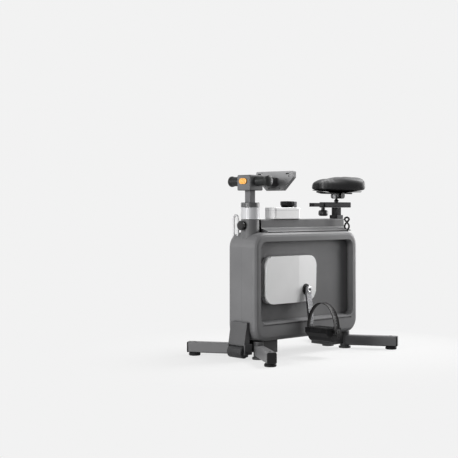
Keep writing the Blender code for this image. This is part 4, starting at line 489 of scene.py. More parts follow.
def add_floor():
    """Pale floor that takes soft shadows near the bike and fades into the background."""
    bm = bmesh.new()
    bmesh.ops.create_grid(bm, x_segments=2, y_segments=2, size=FLOOR_SIZE)
    mesh = to_mesh("floor", bm)
    made = add_object("floor", mesh)
    made.location = (0.0, 0.0, -FLOOR_DROP)
    floor = Paint("floor", 0.9, specular=0.0)
    floor.shader.inputs["Base Color"].default_value = colour(FLOOR_SEEN)
    tree = floor.material.node_tree
    plain = tree.nodes.new("ShaderNodeEmission")
    plain.inputs["Color"].default_value = colour(BACKGROUND)
    plain.inputs["Strength"].default_value = 1.0
    far = tree.nodes.new("ShaderNodeVectorMath")
    far.operation = "LENGTH"
    tree.links.new(floor.place.outputs["Object"], far.inputs[0])
    fade = floor.ramp(far.outputs["Value"], FLOOR_NEAR, 1.0, FADE_START, FADE_END)
    soft = tree.nodes.new("ShaderNodeMixShader")
    tree.links.new(fade, soft.inputs["Fac"])
    tree.links.new(floor.shader.outputs["BSDF"], soft.inputs[1])
    tree.links.new(plain.outputs[0], soft.inputs[2])
    dim = tree.nodes.new("ShaderNodeBsdfDiffuse")
    dim.inputs["Color"].default_value = colour(FLOOR_BOUNCE)
    output = tree.nodes["Material Output"]
    tree.links.new(seen_mix(tree, soft.outputs[0], dim.outputs[0]), output.inputs["Surface"])
    cover(mesh, floor.material)


add_camera()
add_world()
add_floor()
add_area("rear", (0.6, 3.3, 0.9), LOW_MIDDLE, (2.2, 1.5), 84.0)
add_area("side", (1.5, 3.0, 1.0), LOW_MIDDLE, (1.2, 1.5), 34.0)
add_area("top", (0.5, 1.9, 2.5), (0.0, 0.0, 0.4), (1.5, 1.2), 96.0)
add_area("far", (-3.1, 0.6, 1.2), LOW_MIDDLE, (1.5, 1.2), 26.0)
add_area("corner", (-1.7, -2.6, 1.2), (0.0, 0.0, 0.45), (0.8, 0.8), 26.0)
add_area("front", (0.5, -3.1, 0.9), LOW_MIDDLE, (1.4, 1.1), 84.0)
bpy.context.scene.view_settings.view_transform = "Standard"


# Pieces and the forms they are made of


ON_AXIS = 0.00001
HAIR = 0.0002  # how far a thin piece lies over or under the CAD's surface
ARC_STEPS = 6
SCREW_RADIUS = 0.0032
SCREW_HEIGHT = 0.0014
SCREW_SUNK = 0.0004
DRILL_REACH = 0.008


def add_piece(name, mesh, body):
    """Puts a mesh in the scene as a piece that rides on a body."""
    made = add_object(name, mesh)
    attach(made, body)
    return made


def from_bm(name, bm, body, paint, smooth=35.0):
    """Makes a piece of a finished form. Edges of more than smooth degrees stay hard."""
    mesh = to_mesh(name, bm)
    cover(mesh, paint)
    mesh.shade_smooth()
    mesh.set_sharp_from_angle(angle=math.radians(smooth))
    return add_piece(name, mesh, body)


def bake(piece):
    """Applies a piece's modifiers to its mesh."""
    graph = bpy.context.evaluated_depsgraph_get()
    mesh = bpy.data.meshes.new_from_object(piece.evaluated_get(graph))
    piece.modifiers.clear()
    piece.data = mesh


def joint_place(name):
    """Where a joint sits at rest."""
    joints = frame["record"]["behaviour"]["joints"]
    return next(joint for joint in joints if joint["name"] == name)["pos_m"]


def smooth_step(value, low, high):
    """Rises smoothly from 0 at low to 1 at high."""
    share = min(1.0, max(0.0, (value - low) / (high - low)))
    return share * share * (3.0 - 2.0 * share)


def between(one, two, share):
    """The value a share of the way from one to two."""
    return one + (two - one) * share


def lengths_along(points):
    """How far along a line of points each of them lies."""
    lengths = [0.0]
    for one, two in zip(points, points[1:]):
        lengths.append(lengths[-1] + math.dist(one, two))
    return lengths


def arc(centre, radius, start, turn):
    """Points on an arc round a flat centre, from start through turn, both in degrees."""
    points = []
    for step in range(ARC_STEPS + 1):
        angle = math.radians(start + turn * step / ARC_STEPS)
        points.append((centre[0] + radius * math.cos(angle), centre[1] + radius * math.sin(angle)))
    return points


def skin(bm, rings, closed=False):
    """Joins rings of points. The ends are capped, or joined to each other where it is closed."""
    pairs = list(zip(rings, rings[1:]))
    if closed:
        pairs.append((rings[-1], rings[0]))
    for one, two in pairs:
        for step in range(len(one)):
            after = (step + 1) % len(one)
            bm.faces.new((one[step], one[after], two[after], two[step]))
    if not closed:
        bm.faces.new(list(reversed(rings[0])))
        bm.faces.new(rings[-1])


def tube(bm, points, radius, sides, closed=False):
    """Sweeps a round section along points into bm."""
    count = len(points)
    rings = []
    up = None
    for step, point in enumerate(points):
        after = points[(step + 1) % count] if closed else points[min(step + 1, count - 1)]
        before = points[step - 1] if closed else points[max(step - 1, 0)]
        way = (after - before).normalized()
        if up is None:
            up = Vector((0, 0, 1)) if abs(way.z) < 0.9 else Vector((1, 0, 0))
        across = way.cross(up).normalized()
        up = across.cross(way).normalized()
        ring = []
        for side in range(sides):
            angle = 2.0 * math.pi * side / sides
            offset = across * math.cos(angle) + up * math.sin(angle)
            ring.append(bm.verts.new(point + offset * radius))
        rings.append(ring)
    skin(bm, rings, closed)


def lathe(bm, profile, at, axis, sides):
    """Turns (radius, height) pairs round an axis through at, closed where the radius is 0."""
    at = Vector(at)
    way = Vector(axis).normalized()
    side = way.orthogonal().normalized()
    other = way.cross(side)
    rings = []
    for radius, height in profile:
        centre = at + way * height
        if radius < ON_AXIS:
            rings.append([bm.verts.new(centre)])
            continue
        ring = []
        for step in range(sides):
            angle = 2.0 * math.pi * step / sides
            ring.append(bm.verts.new(centre + (side * math.cos(angle) + other * math.sin(angle)) * radius))
        rings.append(ring)
    for one, two in zip(rings, rings[1:]):
        for step in range(sides):
            after = (step + 1) % sides
            corners = [one[step % len(one)], one[after % len(one)]]
            corners += [two[after % len(two)], two[step % len(two)]]
            face = list(dict.fromkeys(corners))
            if len(face) > 2:
                bm.faces.new(face)
    bmesh.ops.recalc_face_normals(bm, faces=bm.faces)


def block(bm, low, high, corner, segments=2):
    """A box between two corners with all its edges rounded."""
    made = bmesh.ops.create_cube(bm, size=1.0)["verts"]
    for vert in made:
        for axis in range(3):
            vert.co[axis] = low[axis] if vert.co[axis] < 0 else high[axis]
    edges = {edge for vert in made for edge in vert.link_edges}
    bmesh.ops.bevel(bm, geom=list(edges), offset=corner, segments=segments, profile=0.5, affect="EDGES")


def end_plates(bm, low, high, proud, sunk, corner):
    """Rounded plates on the front and rear ends of a box, partly proud of it and partly sunk."""
    for near, far in ((low[1] - proud, low[1] + sunk), (high[1] - sunk, high[1] + proud)):
        block(bm, (low[0], near, low[2]), (high[0], far, high[2]), corner)


def screw(bm, at, axis):
    """A pan-head screw with a round socket."""
    radius, height = SCREW_RADIUS, SCREW_HEIGHT
    profile = [(0.0, height * 0.35), (radius * 0.42, height * 0.35), (radius * 0.46, height * 0.92)]
    profile += [(radius * 0.62, height), (radius * 0.86, height * 0.82), (radius, height * 0.45)]
    profile += [(radius, -SCREW_SUNK)]
    lathe(bm, profile, at, axis, 24)


def drill(bm, at, way, radius, sides):
    """A round bar through a point, to be cut out of a piece as a hole."""
    tube(bm, [at - way * DRILL_REACH, at + way * DRILL_REACH], radius, sides)


def cut_with(piece, bm):
    """Cuts the closed forms in bm out of a piece."""
    bmesh.ops.recalc_face_normals(bm, faces=bm.faces)
    tool = add_object("tool", to_mesh("tool", bm))
    cut = piece.modifiers.new("holes", "BOOLEAN")
    cut.solver = "EXACT"
    cut.object = tool
    bake(piece)
    bpy.data.objects.remove(tool, do_unlink=True)


def resample(points, count):
    """Evenly spaced points on a smooth line through the given ones."""
    dense = []
    for step in range(len(points) - 1):
        p0 = points[max(step - 1, 0)]
        p1 = points[step]
        p2 = points[step + 1]
        p3 = points[min(step + 2, len(points) - 1)]
        for part in range(10):
            t = part / 10
            dense.append(0.5 * ((2 * p1) + (p2 - p0) * t + (2 * p0 - 5 * p1 + 4 * p2 - p3) * t * t
                                + (3 * p1 - p0 - 3 * p2 + p3) * t * t * t))
    dense.append(points[-1])
    lengths = lengths_along(dense)
    made = []
    spot = 0
    for step in range(count):
        reach = lengths[-1] * step / (count - 1)
        while spot < len(dense) - 2 and lengths[spot + 1] < reach:
            spot += 1
        span = lengths[spot + 1] - lengths[spot]
        share = (reach - lengths[spot]) / span if span > 0 else 0.0
        made.append(dense[spot].lerp(dense[spot + 1], min(1.0, share)))
    return made


# Saddle, where "along" runs from 0 at its nose to 1 at its rear


PAD_VOXEL = 0.005
PAD_SHRINK = 0.02
PAD_INSET = 0.002
PAD_PROUD = 0.0035
PAD_BLUNT = (0.0, 0.018, 0.07)
SWELL_FRAMES = 20
SWELL_PRESSURE = 4.0
SWELL_LIMIT = 0.0065
COVER_STIFF = 22.0
CHANNEL_DEPTH = 0.0042
CHANNEL_WIDE = 0.016
CHANNEL_TAPER = 0.006
REAR_LIFT = 0.012
CREASE_DEPTH = 0.00018


def swell(pad):
    """Lets the pad blow up as cloth under pressure, each point by a few millimetres at most."""
    start = [vert.co.copy() for vert in pad.data.vertices]
    cloth = pad.modifiers.new("swell", "CLOTH")
    cloth.settings.quality = 6
    cloth.settings.mass = 0.3
    cloth.settings.use_pressure = True
    cloth.settings.uniform_pressure_force = SWELL_PRESSURE
    cloth.settings.tension_stiffness = COVER_STIFF
    cloth.settings.compression_stiffness = COVER_STIFF
    cloth.settings.bending_stiffness = 3.0
    cloth.settings.effector_weights.gravity = 0.0
    cloth.point_cache.frame_start = 1
    cloth.point_cache.frame_end = SWELL_FRAMES
    scene = bpy.context.scene
    for number in range(1, SWELL_FRAMES + 1):
        scene.frame_set(number)
    bake(pad)
    scene.frame_set(1)
    for vert, was in zip(pad.data.vertices, start):
        moved = vert.co - was
        if moved.length > SWELL_LIMIT:
            vert.co = was + moved.normalized() * SWELL_LIMIT


def shape_saddle(pad, low, high):
    """Presses in the centre channel, lifts the rear and creases the sides of the nose."""
    normals = [vert.normal.copy() for vert in pad.data.vertices]
    for vert, normal in zip(pad.data.vertices, normals):
        along = (vert.co.y - low.y) / (high.y - low.y)
        wide = CHANNEL_WIDE - CHANNEL_TAPER * smooth_step(along, 0.2, 0.7)
        if normal.z > 0.2:
            depth = CHANNEL_DEPTH * smooth_step(along, 0.30, 0.52) * (1.0 - smooth_step(along, 0.90, 1.0))
            vert.co.z -= depth * math.exp(-((vert.co.x / wide) ** 2))
        up = (vert.co.z - low.z) / (high.z - low.z)
        vert.co.z += REAR_LIFT * smooth_step(along, 0.78, 0.95) * up
        crease = math.sin(vert.co.y * 310.0 + 1.7 * math.sin(vert.co.x * 90.0))
        nose = 1.0 - smooth_step(along, 0.30, 0.48)
        vert.co += normal * (CREASE_DEPTH * crease * nose * smooth_step(abs(normal.x), 0.3, 0.8))


def seat_pad(pad, low, high):
    """Brings the shaped pad back over the solid's box, with its underside on the base."""
    spread = [[vert.co[axis] for vert in pad.data.vertices] for axis in range(3)]
    least = [min(values) for values in spread]
    most = [max(values) for values in spread]
    goal_low = (low.x - PAD_PROUD, low.y - PAD_PROUD * 0.5, low.z)
    goal_high = (high.x + PAD_PROUD, high.y + PAD_PROUD, high.z + PAD_PROUD * 0.6)
    for vert in pad.data.vertices:
        for axis in range(3):
            share = (vert.co[axis] - least[axis]) / (most[axis] - least[axis])
            if axis < 2 or share < 0.5:
                share -= PAD_BLUNT[axis] * math.sin(2.0 * math.pi * share)
            vert.co[axis] = between(goal_low[axis], goal_high[axis], share)


def make_saddle():
    """Padded saddle: the solid's form swollen as cloth, smoothed and then shaped."""
    source = frame["nodes"]["saddle_cushion"]
    low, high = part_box("saddle_cushion")
    centre = Vector((0.0, (low.y + high.y) / 2, (low.z + high.z) / 2))
    graph = bpy.context.evaluated_depsgraph_get()
    mesh = bpy.data.meshes.new_from_object(source.evaluated_get(graph))
    pad = add_piece("saddle_pad", mesh, "saddle")
    remesh = pad.modifiers.new("even", "REMESH")
    remesh.mode = "VOXEL"
    remesh.voxel_size = PAD_VOXEL
    bake(pad)
    for vert in pad.data.vertices:
        vert.co += (centre - vert.co) * PAD_SHRINK
        vert.co -= vert.normal * PAD_INSET
    swell(pad)
    even = pad.modifiers.new("even", "SMOOTH")
    even.factor = 0.5
    even.iterations = 8
    fine = pad.modifiers.new("fine", "SUBSURF")
    fine.levels = 1
    fine.render_levels = 1
    bake(pad)
    shape_saddle(pad, low, high)
    seat_pad(pad, low, high)
    cover(pad.data, SADDLE)
    pad.data.shade_smooth()
    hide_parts("saddle_cushion")


# Pedals and straps


STRAP_THICK = 0.003
STRAP_OUTER_HALF = 0.020
STRAP_INNER_HALF = 0.009
STRAP_EDGE = 0.0009
STRAP_BORDER = 0.0030
STRAP_SUNK = 0.0007  # how far the strap's face lies under its border
STRAP_TAB = 0.0145  # how far the strap's end reaches in under the pedal
STRAP_BEND = 0.006
STRAP_SIDE = 0.015
STRAP_SHOULDER = 4  # the last point of the strap's line before its arch
STRAP_SPRING = 0.0235
STRAP_SQUARE = 0.85  # under 1, the arch is squarer than an ellipse
STRAP_HOLES = 8
HOLE_FIRST = 0.028
HOLE_PITCH = 0.0125
HOLE_RADIUS = 0.0040

TAIL_LENGTH = 0.040
TAIL_HALF = STRAP_OUTER_HALF * 0.62
TAIL_THICK = 0.0022
TAIL_ABOVE = 0.010  # how far the tail begins above the strap's shoulder
TAIL_GAP = 0.0020
TAIL_BULGE = 0.0030
TAIL_ASIDE = 0.002
TAIL_STEPS = 14
TAIL_HOLES = 3
TAIL_PITCH = 0.0115
TAIL_HOLE_RADIUS = 0.0030

TREADS = 9
TREAD_ROW = 0.024
TREAD_MARGIN = 0.010
TREAD_HALF_X, TREAD_HALF_Y = 0.0036, 0.014
TREAD_PROUD, TREAD_SUNK = 0.0016, 0.001
REFLECTOR_HALF = 0.030
REFLECTOR_LOW, REFLECTOR_HIGH = 0.0155, 0.0045
REFLECTOR_PROUD, REFLECTOR_SUNK = 0.0014, 0.002
BEARING_UP = 0.0165


def strap_line(low, high, side):
    """The strap's outer face from its tab under the pedal to its inner foot, as (x, z)."""
    inner = low.x if side > 0 else -high.x
    outer = high.x if side > 0 else -low.x
    centre = (inner + outer) / 2
    half = (outer - inner) / 2
    bottom = low.z
    spring = bottom + STRAP_SPRING
    rise = high.z - spring
    round_off = STRAP_BEND * 0.3
    points = [(outer - STRAP_TAB, bottom), (outer - STRAP_BEND, bottom)]
    points += [(outer - round_off, bottom + round_off), (outer, bottom + STRAP_BEND)]
    points += [(outer, bottom + STRAP_SIDE)]
    for step in range(33):
        angle = math.pi * step / 32
        x = centre + half * math.cos(angle)
        points.append((x, spring + rise * math.sin(angle) ** STRAP_SQUARE))
    points.append((inner, spring - 0.0005))
    return points


def strap_section(half):
    """Closed section with rounded edges and a raised border on both sides of the outer face."""
    face = [
        (half, STRAP_THICK / 2),
        (half - STRAP_EDGE * 0.4, STRAP_EDGE / 2),
        (half - STRAP_EDGE, 0.0),
        (half - STRAP_BORDER, 0.0),
        (half - STRAP_BORDER - 0.0006, STRAP_SUNK),
    ]
    back = [(half - STRAP_EDGE * 0.4, STRAP_THICK - STRAP_EDGE / 2), (half - STRAP_EDGE, STRAP_THICK)]
    far_face = [(-across, deep) for across, deep in reversed(face)]
    far_back = [(-across, deep) for across, deep in back]
    return face + far_face + far_back + back[::-1]


def make_strap(label, side):
    """Foot strap with a raised border and a row of holes, in place of the CAD's plain one."""
    name = "pedal_strap_" + label
    low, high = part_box(name)
    line = strap_line(low, high, side)
    outer_mid = high.y - STRAP_OUTER_HALF
    inner_mid = low.y + STRAP_INNER_HALF
    bm = bmesh.new()
    rings = []
    for step, (x, z) in enumerate(line):
        before = line[max(step - 1, 0)]
        after = line[min(step + 1, len(line) - 1)]
        way = Vector((after[0] - before[0], after[1] - before[1])).normalized()
        inward = Vector((-way.y, way.x))
        share = step / (len(line) - 1)
        mid = between(outer_mid, inner_mid, share)
        ring = []
        for across, deep in strap_section(between(STRAP_OUTER_HALF, STRAP_INNER_HALF, share)):
            shift = inward * deep
            ring.append(bm.verts.new((side * (x + shift.x), mid + across, z + shift.y)))
        rings.append(ring)
    skin(bm, rings)
    bmesh.ops.recalc_face_normals(bm, faces=bm.faces)
    hang_tail(label, side, line, outer_mid)
    strap = from_bm("strap_" + label, bm, label + "_pedal", STRAP, smooth=50.0)
    punch_holes(strap, side, line, outer_mid, inner_mid)
    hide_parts(name)


def punch_holes(strap, side, line, outer_mid, inner_mid):
    """Cuts a row of round holes up the strap's outer end."""
    lengths = lengths_along(line)
    bm = bmesh.new()
    for hole in range(STRAP_HOLES):
        reach = HOLE_FIRST + hole * HOLE_PITCH
        step = next(number for number, length in enumerate(lengths) if length > reach)
        before = line[step - 1]
        after = line[step]
        share = (reach - lengths[step - 1]) / (lengths[step] - lengths[step - 1])
        mid = between(outer_mid, inner_mid, (step - 1 + share) / (len(line) - 1))
        at = Vector((side * between(before[0], after[0], share), mid, between(before[1], after[1], share)))
        way = Vector((side * (after[1] - before[1]), 0.0, -(after[0] - before[0]))).normalized()
        drill(bm, at, way, HOLE_RADIUS, 16)
    cut_with(strap, bm)


def hang_tail(label, side, line, outer_mid):
    """The strap's spare end, hanging down outside the pedal, with its own holes."""
    outer, shoulder = line[STRAP_SHOULDER]
    top = shoulder + TAIL_ABOVE
    middle = outer_mid - TAIL_ASIDE
    bm = bmesh.new()
    rings = []
    for step in range(TAIL_STEPS + 1):
        share = step / TAIL_STEPS
        x = outer + TAIL_GAP + TAIL_BULGE * math.sin(share * math.pi)
        z = top - TAIL_LENGTH * share
        half = TAIL_HALF * (1.0 - 0.35 * max(0.0, share - 0.85) / 0.15)
        section = ((half, 0.0), (half, TAIL_THICK), (-half, TAIL_THICK), (-half, 0.0))
        rings.append([bm.verts.new((side * (x + deep), middle + across, z)) for across, deep in section])
    skin(bm, rings)
    bmesh.ops.recalc_face_normals(bm, faces=bm.faces)
    tail = from_bm("strap_tail_" + label, bm, label + "_pedal", STRAP, smooth=50.0)
    bm = bmesh.new()
    for hole in range(TAIL_HOLES):
        at = Vector((side * (outer + TAIL_GAP + TAIL_THICK), middle, shoulder - hole * TAIL_PITCH))
        drill(bm, at, Vector((side, 0, 0)), TAIL_HOLE_RADIUS, 14)
    cut_with(tail, bm)


def make_pedal_trim(label, side):
    """Tread pads, a reflector at each end and the bearing cap of one pedal."""
    body = label + "_pedal"
    low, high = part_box("pedal_" + label)
    middle = (low + high) / 2
    bm = bmesh.new()
    for row in (-1, 1):
        y = middle.y + row * TREAD_ROW
        for step in range(TREADS):
            x = between(low.x + TREAD_MARGIN, high.x - TREAD_MARGIN, step / (TREADS - 1))
            block(bm, (x - TREAD_HALF_X, y - TREAD_HALF_Y, high.z - TREAD_SUNK),
                  (x + TREAD_HALF_X, y + TREAD_HALF_Y, high.z + TREAD_PROUD), 0.001)
    from_bm("tread_" + label, bm, body, RUBBER)
    bm = bmesh.new()
    plate_low = (middle.x - REFLECTOR_HALF, low.y, high.z - REFLECTOR_LOW)
    plate_high = (middle.x + REFLECTOR_HALF, high.y, high.z - REFLECTOR_HIGH)
    end_plates(bm, plate_low, plate_high, REFLECTOR_PROUD, REFLECTOR_SUNK, 0.001)
    from_bm("reflector_" + label, bm, body, DARK)
    bm = bmesh.new()
    outer = high.x if side > 0 else low.x
    at = (outer - side * 0.0005, middle.y, middle.z + BEARING_UP)
    profile = [(0.0, 0.0018), (0.0060, 0.0018), (0.0078, 0.0008), (0.0084, -0.001)]
    lathe(bm, profile, at, (side, 0, 0), 32)
    from_bm("pedal_cap_" + label, bm, body, BLACK)


# Grips, head and button


GRIP_STEPS = 64
GRIP_START = 0.004
GRIP_DOME = 0.010
GRIP_INSET = 0.0006
GRIP_WAIST = 0.0030
GRIP_TAPER = 0.0032
GRIP_RING = 0.00035
HEAD_PAD_MARGIN = 0.0045
HEAD_PAD_START, HEAD_PAD_END = 0.004, 0.072
HEAD_PAD_PROUD, HEAD_PAD_SUNK = 0.0012, 0.0015
RIB_HALF_X, RIB_HALF_Z = 0.0125, 0.0013
RIB_PITCH = 0.0058
RIB_PROUD, RIB_SUNK = 0.0011, 0.001


def make_grip(label, side):
    """Soft grip with a slight waist, fine rings and a domed end."""
    name = "grip_" + label
    low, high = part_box(name)
    near = min(abs(low.x), abs(high.x))
    length = max(abs(low.x), abs(high.x)) - near
    widest = (high.z - low.z) / 2
    outside = widest - GRIP_INSET
    profile = [(0.0, 0.0), (widest - 0.006, 0.0), (widest - 0.0045, 0.0008), (widest - 0.0040, 0.003)]
    for step in range(1, GRIP_STEPS):
        share = step / GRIP_STEPS
        waist = GRIP_WAIST * smooth_step(share, 0.0, 0.25) * (1.0 - smooth_step(share, 0.72, 1.0))
        ring = GRIP_RING if step % 3 == 0 and 0.12 < share < 0.86 else 0.0
        taper = GRIP_TAPER * (1.0 - smooth_step(share, 0.0, 0.10))
        profile.append((outside - waist - ring - taper, between(GRIP_START, length - GRIP_DOME, share)))
    for angle in range(10, 91, 10):
        turn = math.radians(angle)
        radius = outside * math.cos(turn) if angle < 90 else 0.0
        profile.append((radius, length - GRIP_DOME + GRIP_DOME * math.sin(turn)))
    bm = bmesh.new()
    at = (side * near, (low.y + high.y) / 2, (low.z + high.z) / 2)
    lathe(bm, profile, at, (side, 0, 0), 48)
    grip = from_bm("soft_grip_" + label, bm, "handlebar", GRIP, smooth=50.0)
    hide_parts(name)


def make_head_trim():
    """Pad on top of the head, and three ribs across the release button."""
    low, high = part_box("head_block")
    bm = bmesh.new()
    block(bm, (low.x + HEAD_PAD_MARGIN, low.y + HEAD_PAD_START, high.z - HEAD_PAD_SUNK),
          (high.x - HEAD_PAD_MARGIN, low.y + HEAD_PAD_END, high.z + HEAD_PAD_PROUD), 0.001, 3)
    from_bm("head_pad", bm, "handlebar", BLACK)
    low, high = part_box("release_button")
    middle = (low + high) / 2
    bm = bmesh.new()
    for row in (-1, 0, 1):
        z = middle.z + row * RIB_PITCH
        block(bm, (middle.x - RIB_HALF_X, low.y - RIB_PROUD, z - RIB_HALF_Z),
              (middle.x + RIB_HALF_X, low.y + RIB_SUNK, z + RIB_HALF_Z), 0.0009)
    from_bm("button_ribs", bm, "button", ORANGE)


# Dial, console and pod


LUG_TURN = 46.7
LUG_NEAR, LUG_FAR = 0.0275, 0.0415
LUG_HALF = 0.0085
LUG_LOW, LUG_HIGH = 0.0255, 0.0012
POINTER_NEAR, POINTER_FAR = 0.006, 0.0205
POINTER_HALF = 0.0012
POINTER_THICK = 0.0006
WINDOW_HALF = 0.0392
WINDOW_LOW, WINDOW_HIGH = 0.0188, 0.0218
WINDOW_THICK = 0.001
SLOT_IN, SLOT_DOWN = 0.0255, 0.011
SLOT_MARGIN = 0.0005
UPPER_SCREW_IN, UPPER_SCREW_DOWN = 0.024, 0.0215
LOWER_SCREW_OUT, LOWER_SCREW_UP = 0.032, 0.0095
POD_CORNER = 0.012
POD_SEAM_DOWN = 0.012
POD_SEAM_RADIUS = 0.0006


def turn_and_place(bm, degrees, at):
    """Turns a form round the upright axis and moves it to its place."""
    turn = Matrix.Rotation(math.radians(degrees), 3, "Z")
    bmesh.ops.rotate(bm, cent=(0, 0, 0), matrix=turn, verts=bm.verts)
    bmesh.ops.translate(bm, vec=at, verts=bm.verts)


def make_dial_trim():
    """Thin cap on the dial, a finger lug on its rim and a pale line opposite the lug."""
    x, y = joint_place("dial_turn")[:2]
    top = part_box("resistance_dial")[1].z
    bm = bmesh.new()
    profile = [(0.0, 0.0004), (0.0150, 0.0004), (0.0160, 0.0), (0.0165, -0.002)]
    lathe(bm, profile, (x, y, top), (0, 0, 1), 48)
    from_bm("dial_cap", bm, "dial", DARK)
    bm = bmesh.new()
    block(bm, (LUG_NEAR, -LUG_HALF, -LUG_LOW), (LUG_FAR, LUG_HALF, -LUG_HIGH), 0.0022, 3)
    turn_and_place(bm, LUG_TURN, (x, y, top))
    from_bm("dial_lug", bm, "dial", LUG)
    bm = bmesh.new()
    block(bm, (-POINTER_HALF, POINTER_NEAR, 0.0), (POINTER_HALF, POINTER_FAR, POINTER_THICK), 0.0003)
    turn_and_place(bm, LUG_TURN + 180.0, (x, y, top + HAIR))
    from_bm("dial_pointer", bm, "dial", PALE)


def slot_liner(bm, x, z, front, back):
    """A thin sleeve inside one of the console's slots, between two rounded outlines."""
    outlines = []
    for half, tall in ((0.0152, 0.0028), (0.0140, 0.0012)):
        right = arc((x + half - tall, z), tall, -90, 180)
        left = arc((x - half + tall, z), tall, 90, 180)
        outlines.append(right + left)
    outside, inside = outlines
    rings = []
    for outline, y in ((outside, front), (outside, back), (inside, back), (inside, front)):
        rings.append([bm.verts.new((px, y, pz)) for px, pz in outline])
    skin(bm, rings, closed=True)
    bmesh.ops.recalc_face_normals(bm, faces=bm.faces)


def make_console_trim():
    """Display window on the rider's side, lined slots and four screws in front."""
    low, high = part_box("console_panel")
    bm = bmesh.new()
    block(bm, (-WINDOW_HALF, high.y - HAIR - WINDOW_THICK, low.z + WINDOW_LOW),
          (WINDOW_HALF, high.y - HAIR, high.z - WINDOW_HIGH), 0.0004)
    from_bm("display_glass", bm, "handlebar", GLASS)
    bm = bmesh.new()
    for x in (low.x + SLOT_IN, high.x - SLOT_IN):
        slot_liner(bm, x, high.z - SLOT_DOWN, low.y + SLOT_MARGIN, high.y - SLOT_MARGIN)
    from_bm("slot_liners", bm, "handlebar", BLACK)
    bm = bmesh.new()
    for x in (low.x + UPPER_SCREW_IN, high.x - UPPER_SCREW_IN):
        screw(bm, (x, low.y + HAIR, high.z - UPPER_SCREW_DOWN), (0, -1, 0))
    for x in (-LOWER_SCREW_OUT, LOWER_SCREW_OUT):
        screw(bm, (x, low.y + HAIR, low.z + LOWER_SCREW_UP), (0, -1, 0))
    from_bm("console_screws", bm, "handlebar", BLACK)


def make_pod_trim():
    """Shadow seam round the pod, a little under its top."""
    low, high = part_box("control_pod")
    near_x, near_y = low.x + POD_CORNER, low.y + POD_CORNER
    far_x, far_y = high.x - POD_CORNER, high.y - POD_CORNER
    points = []
    for x, y, start in ((far_x, far_y, 0), (near_x, far_y, 90), (near_x, near_y, 180), (far_x, near_y, 270)):
        for spot in arc((x, y), POD_CORNER - HAIR, start, 90):
            points.append(Vector((*spot, high.z - POD_SEAM_DOWN)))
    bm = bmesh.new()
    tube(bm, points, POD_SEAM_RADIUS, 6, closed=True)
    from_bm("pod_seam", bm, "body", SEAM)


# Rear loop, where "down" runs from 0 at its top to 1 at its feet


LOOP_HALF = 0.0098
LOOP_SWING = 0.0042
LOOP_TOP = 0.0042
LOOP_FOOT = 0.003
LOOP_STEPS = 90
LOOP_RING = 0.2  # where the ring is widest and the legs begin
LOOP_TWIST = 1.9  # half turns over the loop's whole height
STRAND_POINTS = 150
STRAND_APART = 0.0016
STRAND_RADIUS = 0.0030
STRAND_TURN = 0.42


def make_rear_loop():
    """Twisted black loop: a ring on top, then two legs that cross on their way to the feet."""
    name = "carry_loop_rear"
    low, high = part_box(name)
    middle = Vector(((low.x + high.x) / 2, (low.y + high.y) / 2, 0.0))
    top = high.z - LOOP_TOP
    foot = low.z + LOOP_FOOT
    points = []
    for step in range(LOOP_STEPS + 1):
        around = between(-1.0, 1.0, step / LOOP_STEPS)
        side = 1.0 if around > 0 else -1.0
        down = abs(around)
        opening = math.sin(min(1.0, down / LOOP_RING) * math.pi / 2)
        x = side * LOOP_HALF * opening * math.cos((down - LOOP_RING) * math.pi * LOOP_TWIST)
        y = side * LOOP_SWING * math.cos((down - LOOP_RING / 2) * math.pi * LOOP_TWIST)
        points.append(middle + Vector((x, y, between(top, foot, down ** 1.25))))
    fine = resample(points, STRAND_POINTS)
    bm = bmesh.new()
    for phase in (0.0, math.pi):
        strand = []
        for step, point in enumerate(fine):
            before = fine[max(step - 1, 0)]
            after = fine[min(step + 1, len(fine) - 1)]
            way = (after - before).normalized()
            across = way.cross(Vector((0, 1, 0))).normalized()
            other = across.cross(way)
            turn = phase + step * STRAND_TURN
            strand.append(point + (across * math.cos(turn) + other * math.sin(turn)) * STRAND_APART)
        tube(bm, strand, STRAND_RADIUS, 8)
    loop = from_bm("twisted_loop", bm, "body", CORD, smooth=60.0)
    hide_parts(name)


# Small parts of base, crank and seat


RECESS_RADIUS = 0.009
BOSS_RADIUS = 0.0128
CLAMP_PLATE_HALF = 0.0075
CLAMP_PLATE_MARGIN = 0.001
CLAMP_PLATE_PROUD, CLAMP_PLATE_SUNK = 0.0012, 0.002
RAIL_END_MARGIN = 0.0015
RAIL_END_PROUD, RAIL_END_SUNK = 0.0012, 0.001


def make_base_trim():
    """Bolt heads on the legs, over the four feet."""
    bm = bmesh.new()
    profile = [(0.0, 0.0016), (0.0052, 0.0016), (0.0062, 0.0008), (0.0066, -0.0005)]
    for corner in CORNERS:
        low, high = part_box("glide_" + corner)
        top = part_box("leg_" + corner)[1].z
        lathe(bm, profile, ((low.x + high.x) / 2, (low.y + high.y) / 2, top), (0, 0, 1), 6)
    from_bm("leg_bolts", bm, "body", BLACK, smooth=20.0)


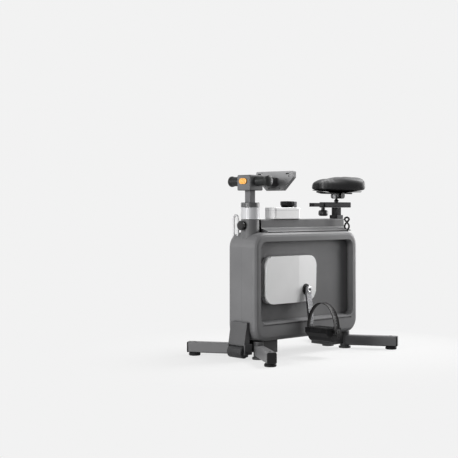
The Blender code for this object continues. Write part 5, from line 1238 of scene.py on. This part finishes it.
def make_crank_trim():
    """A socket bolt and a bright ring round it on the boss of each crank arm."""
    y, z = joint_place("crank_spin")[1:]
    bolt = [(0.0, -0.0006), (0.0030, -0.0006), (0.0032, 0.0012), (0.0056, 0.0012)]
    bolt += [(0.0062, 0.0004), (0.0062, -0.0006)]
    ring = [(0.0066, -0.0006), (0.0066, 0.0006), (0.0074, 0.0010), (0.0108, 0.0010)]
    ring += [(0.0118, 0.0003), (0.0122, -0.0006)]
    bolts = bmesh.new()
    rings = bmesh.new()
    for label, side in SIDES:
        arm = frame["nodes"]["crank_arm_" + label]
        spots = [arm.matrix_world @ vert.co for vert in arm.data.vertices]
        reaches = [(math.hypot(spot.y - y, spot.z - z), abs(spot.x)) for spot in spots]
        recess = max(out for away, out in reaches if away < RECESS_RADIUS)
        boss = max(out for away, out in reaches if RECESS_RADIUS < away < BOSS_RADIUS)
        lathe(bolts, bolt, (side * recess, y, z), (side, 0, 0), 24)
        lathe(rings, ring, (side * boss, y, z), (side, 0, 0), 40)
    from_bm("crank_bolts", bolts, "crank", BLACK)
    from_bm("boss_faces", rings, "crank", CHROME)


def make_clamp_trim():
    """Bright plate down the front of the saddle's clamp."""
    low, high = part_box("saddle_clamp")
    bm = bmesh.new()
    block(bm, (-CLAMP_PLATE_HALF, low.y - CLAMP_PLATE_PROUD, low.z + CLAMP_PLATE_MARGIN),
          (CLAMP_PLATE_HALF, low.y + CLAMP_PLATE_SUNK, high.z - CLAMP_PLATE_MARGIN), 0.0008)
    from_bm("clamp_plate", bm, "saddle", SLEEVE)


def make_seat_trim():
    """End caps on the seat's rail."""
    low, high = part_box("seat_rail")
    margin = Vector((RAIL_END_MARGIN, 0.0, RAIL_END_MARGIN))
    bm = bmesh.new()
    end_plates(bm, low + margin, high - margin, RAIL_END_PROUD, RAIL_END_SUNK, 0.0008)
    from_bm("rail_ends", bm, "seat_mast", BLACK)


make_saddle()
for label, side in SIDES:
    make_strap(label, side)
    make_pedal_trim(label, side)
    make_grip(label, side)
make_head_trim()
make_dial_trim()
make_console_trim()
make_pod_trim()
make_rear_loop()
make_base_trim()
make_seat_trim()
make_crank_trim()
make_clamp_trim()
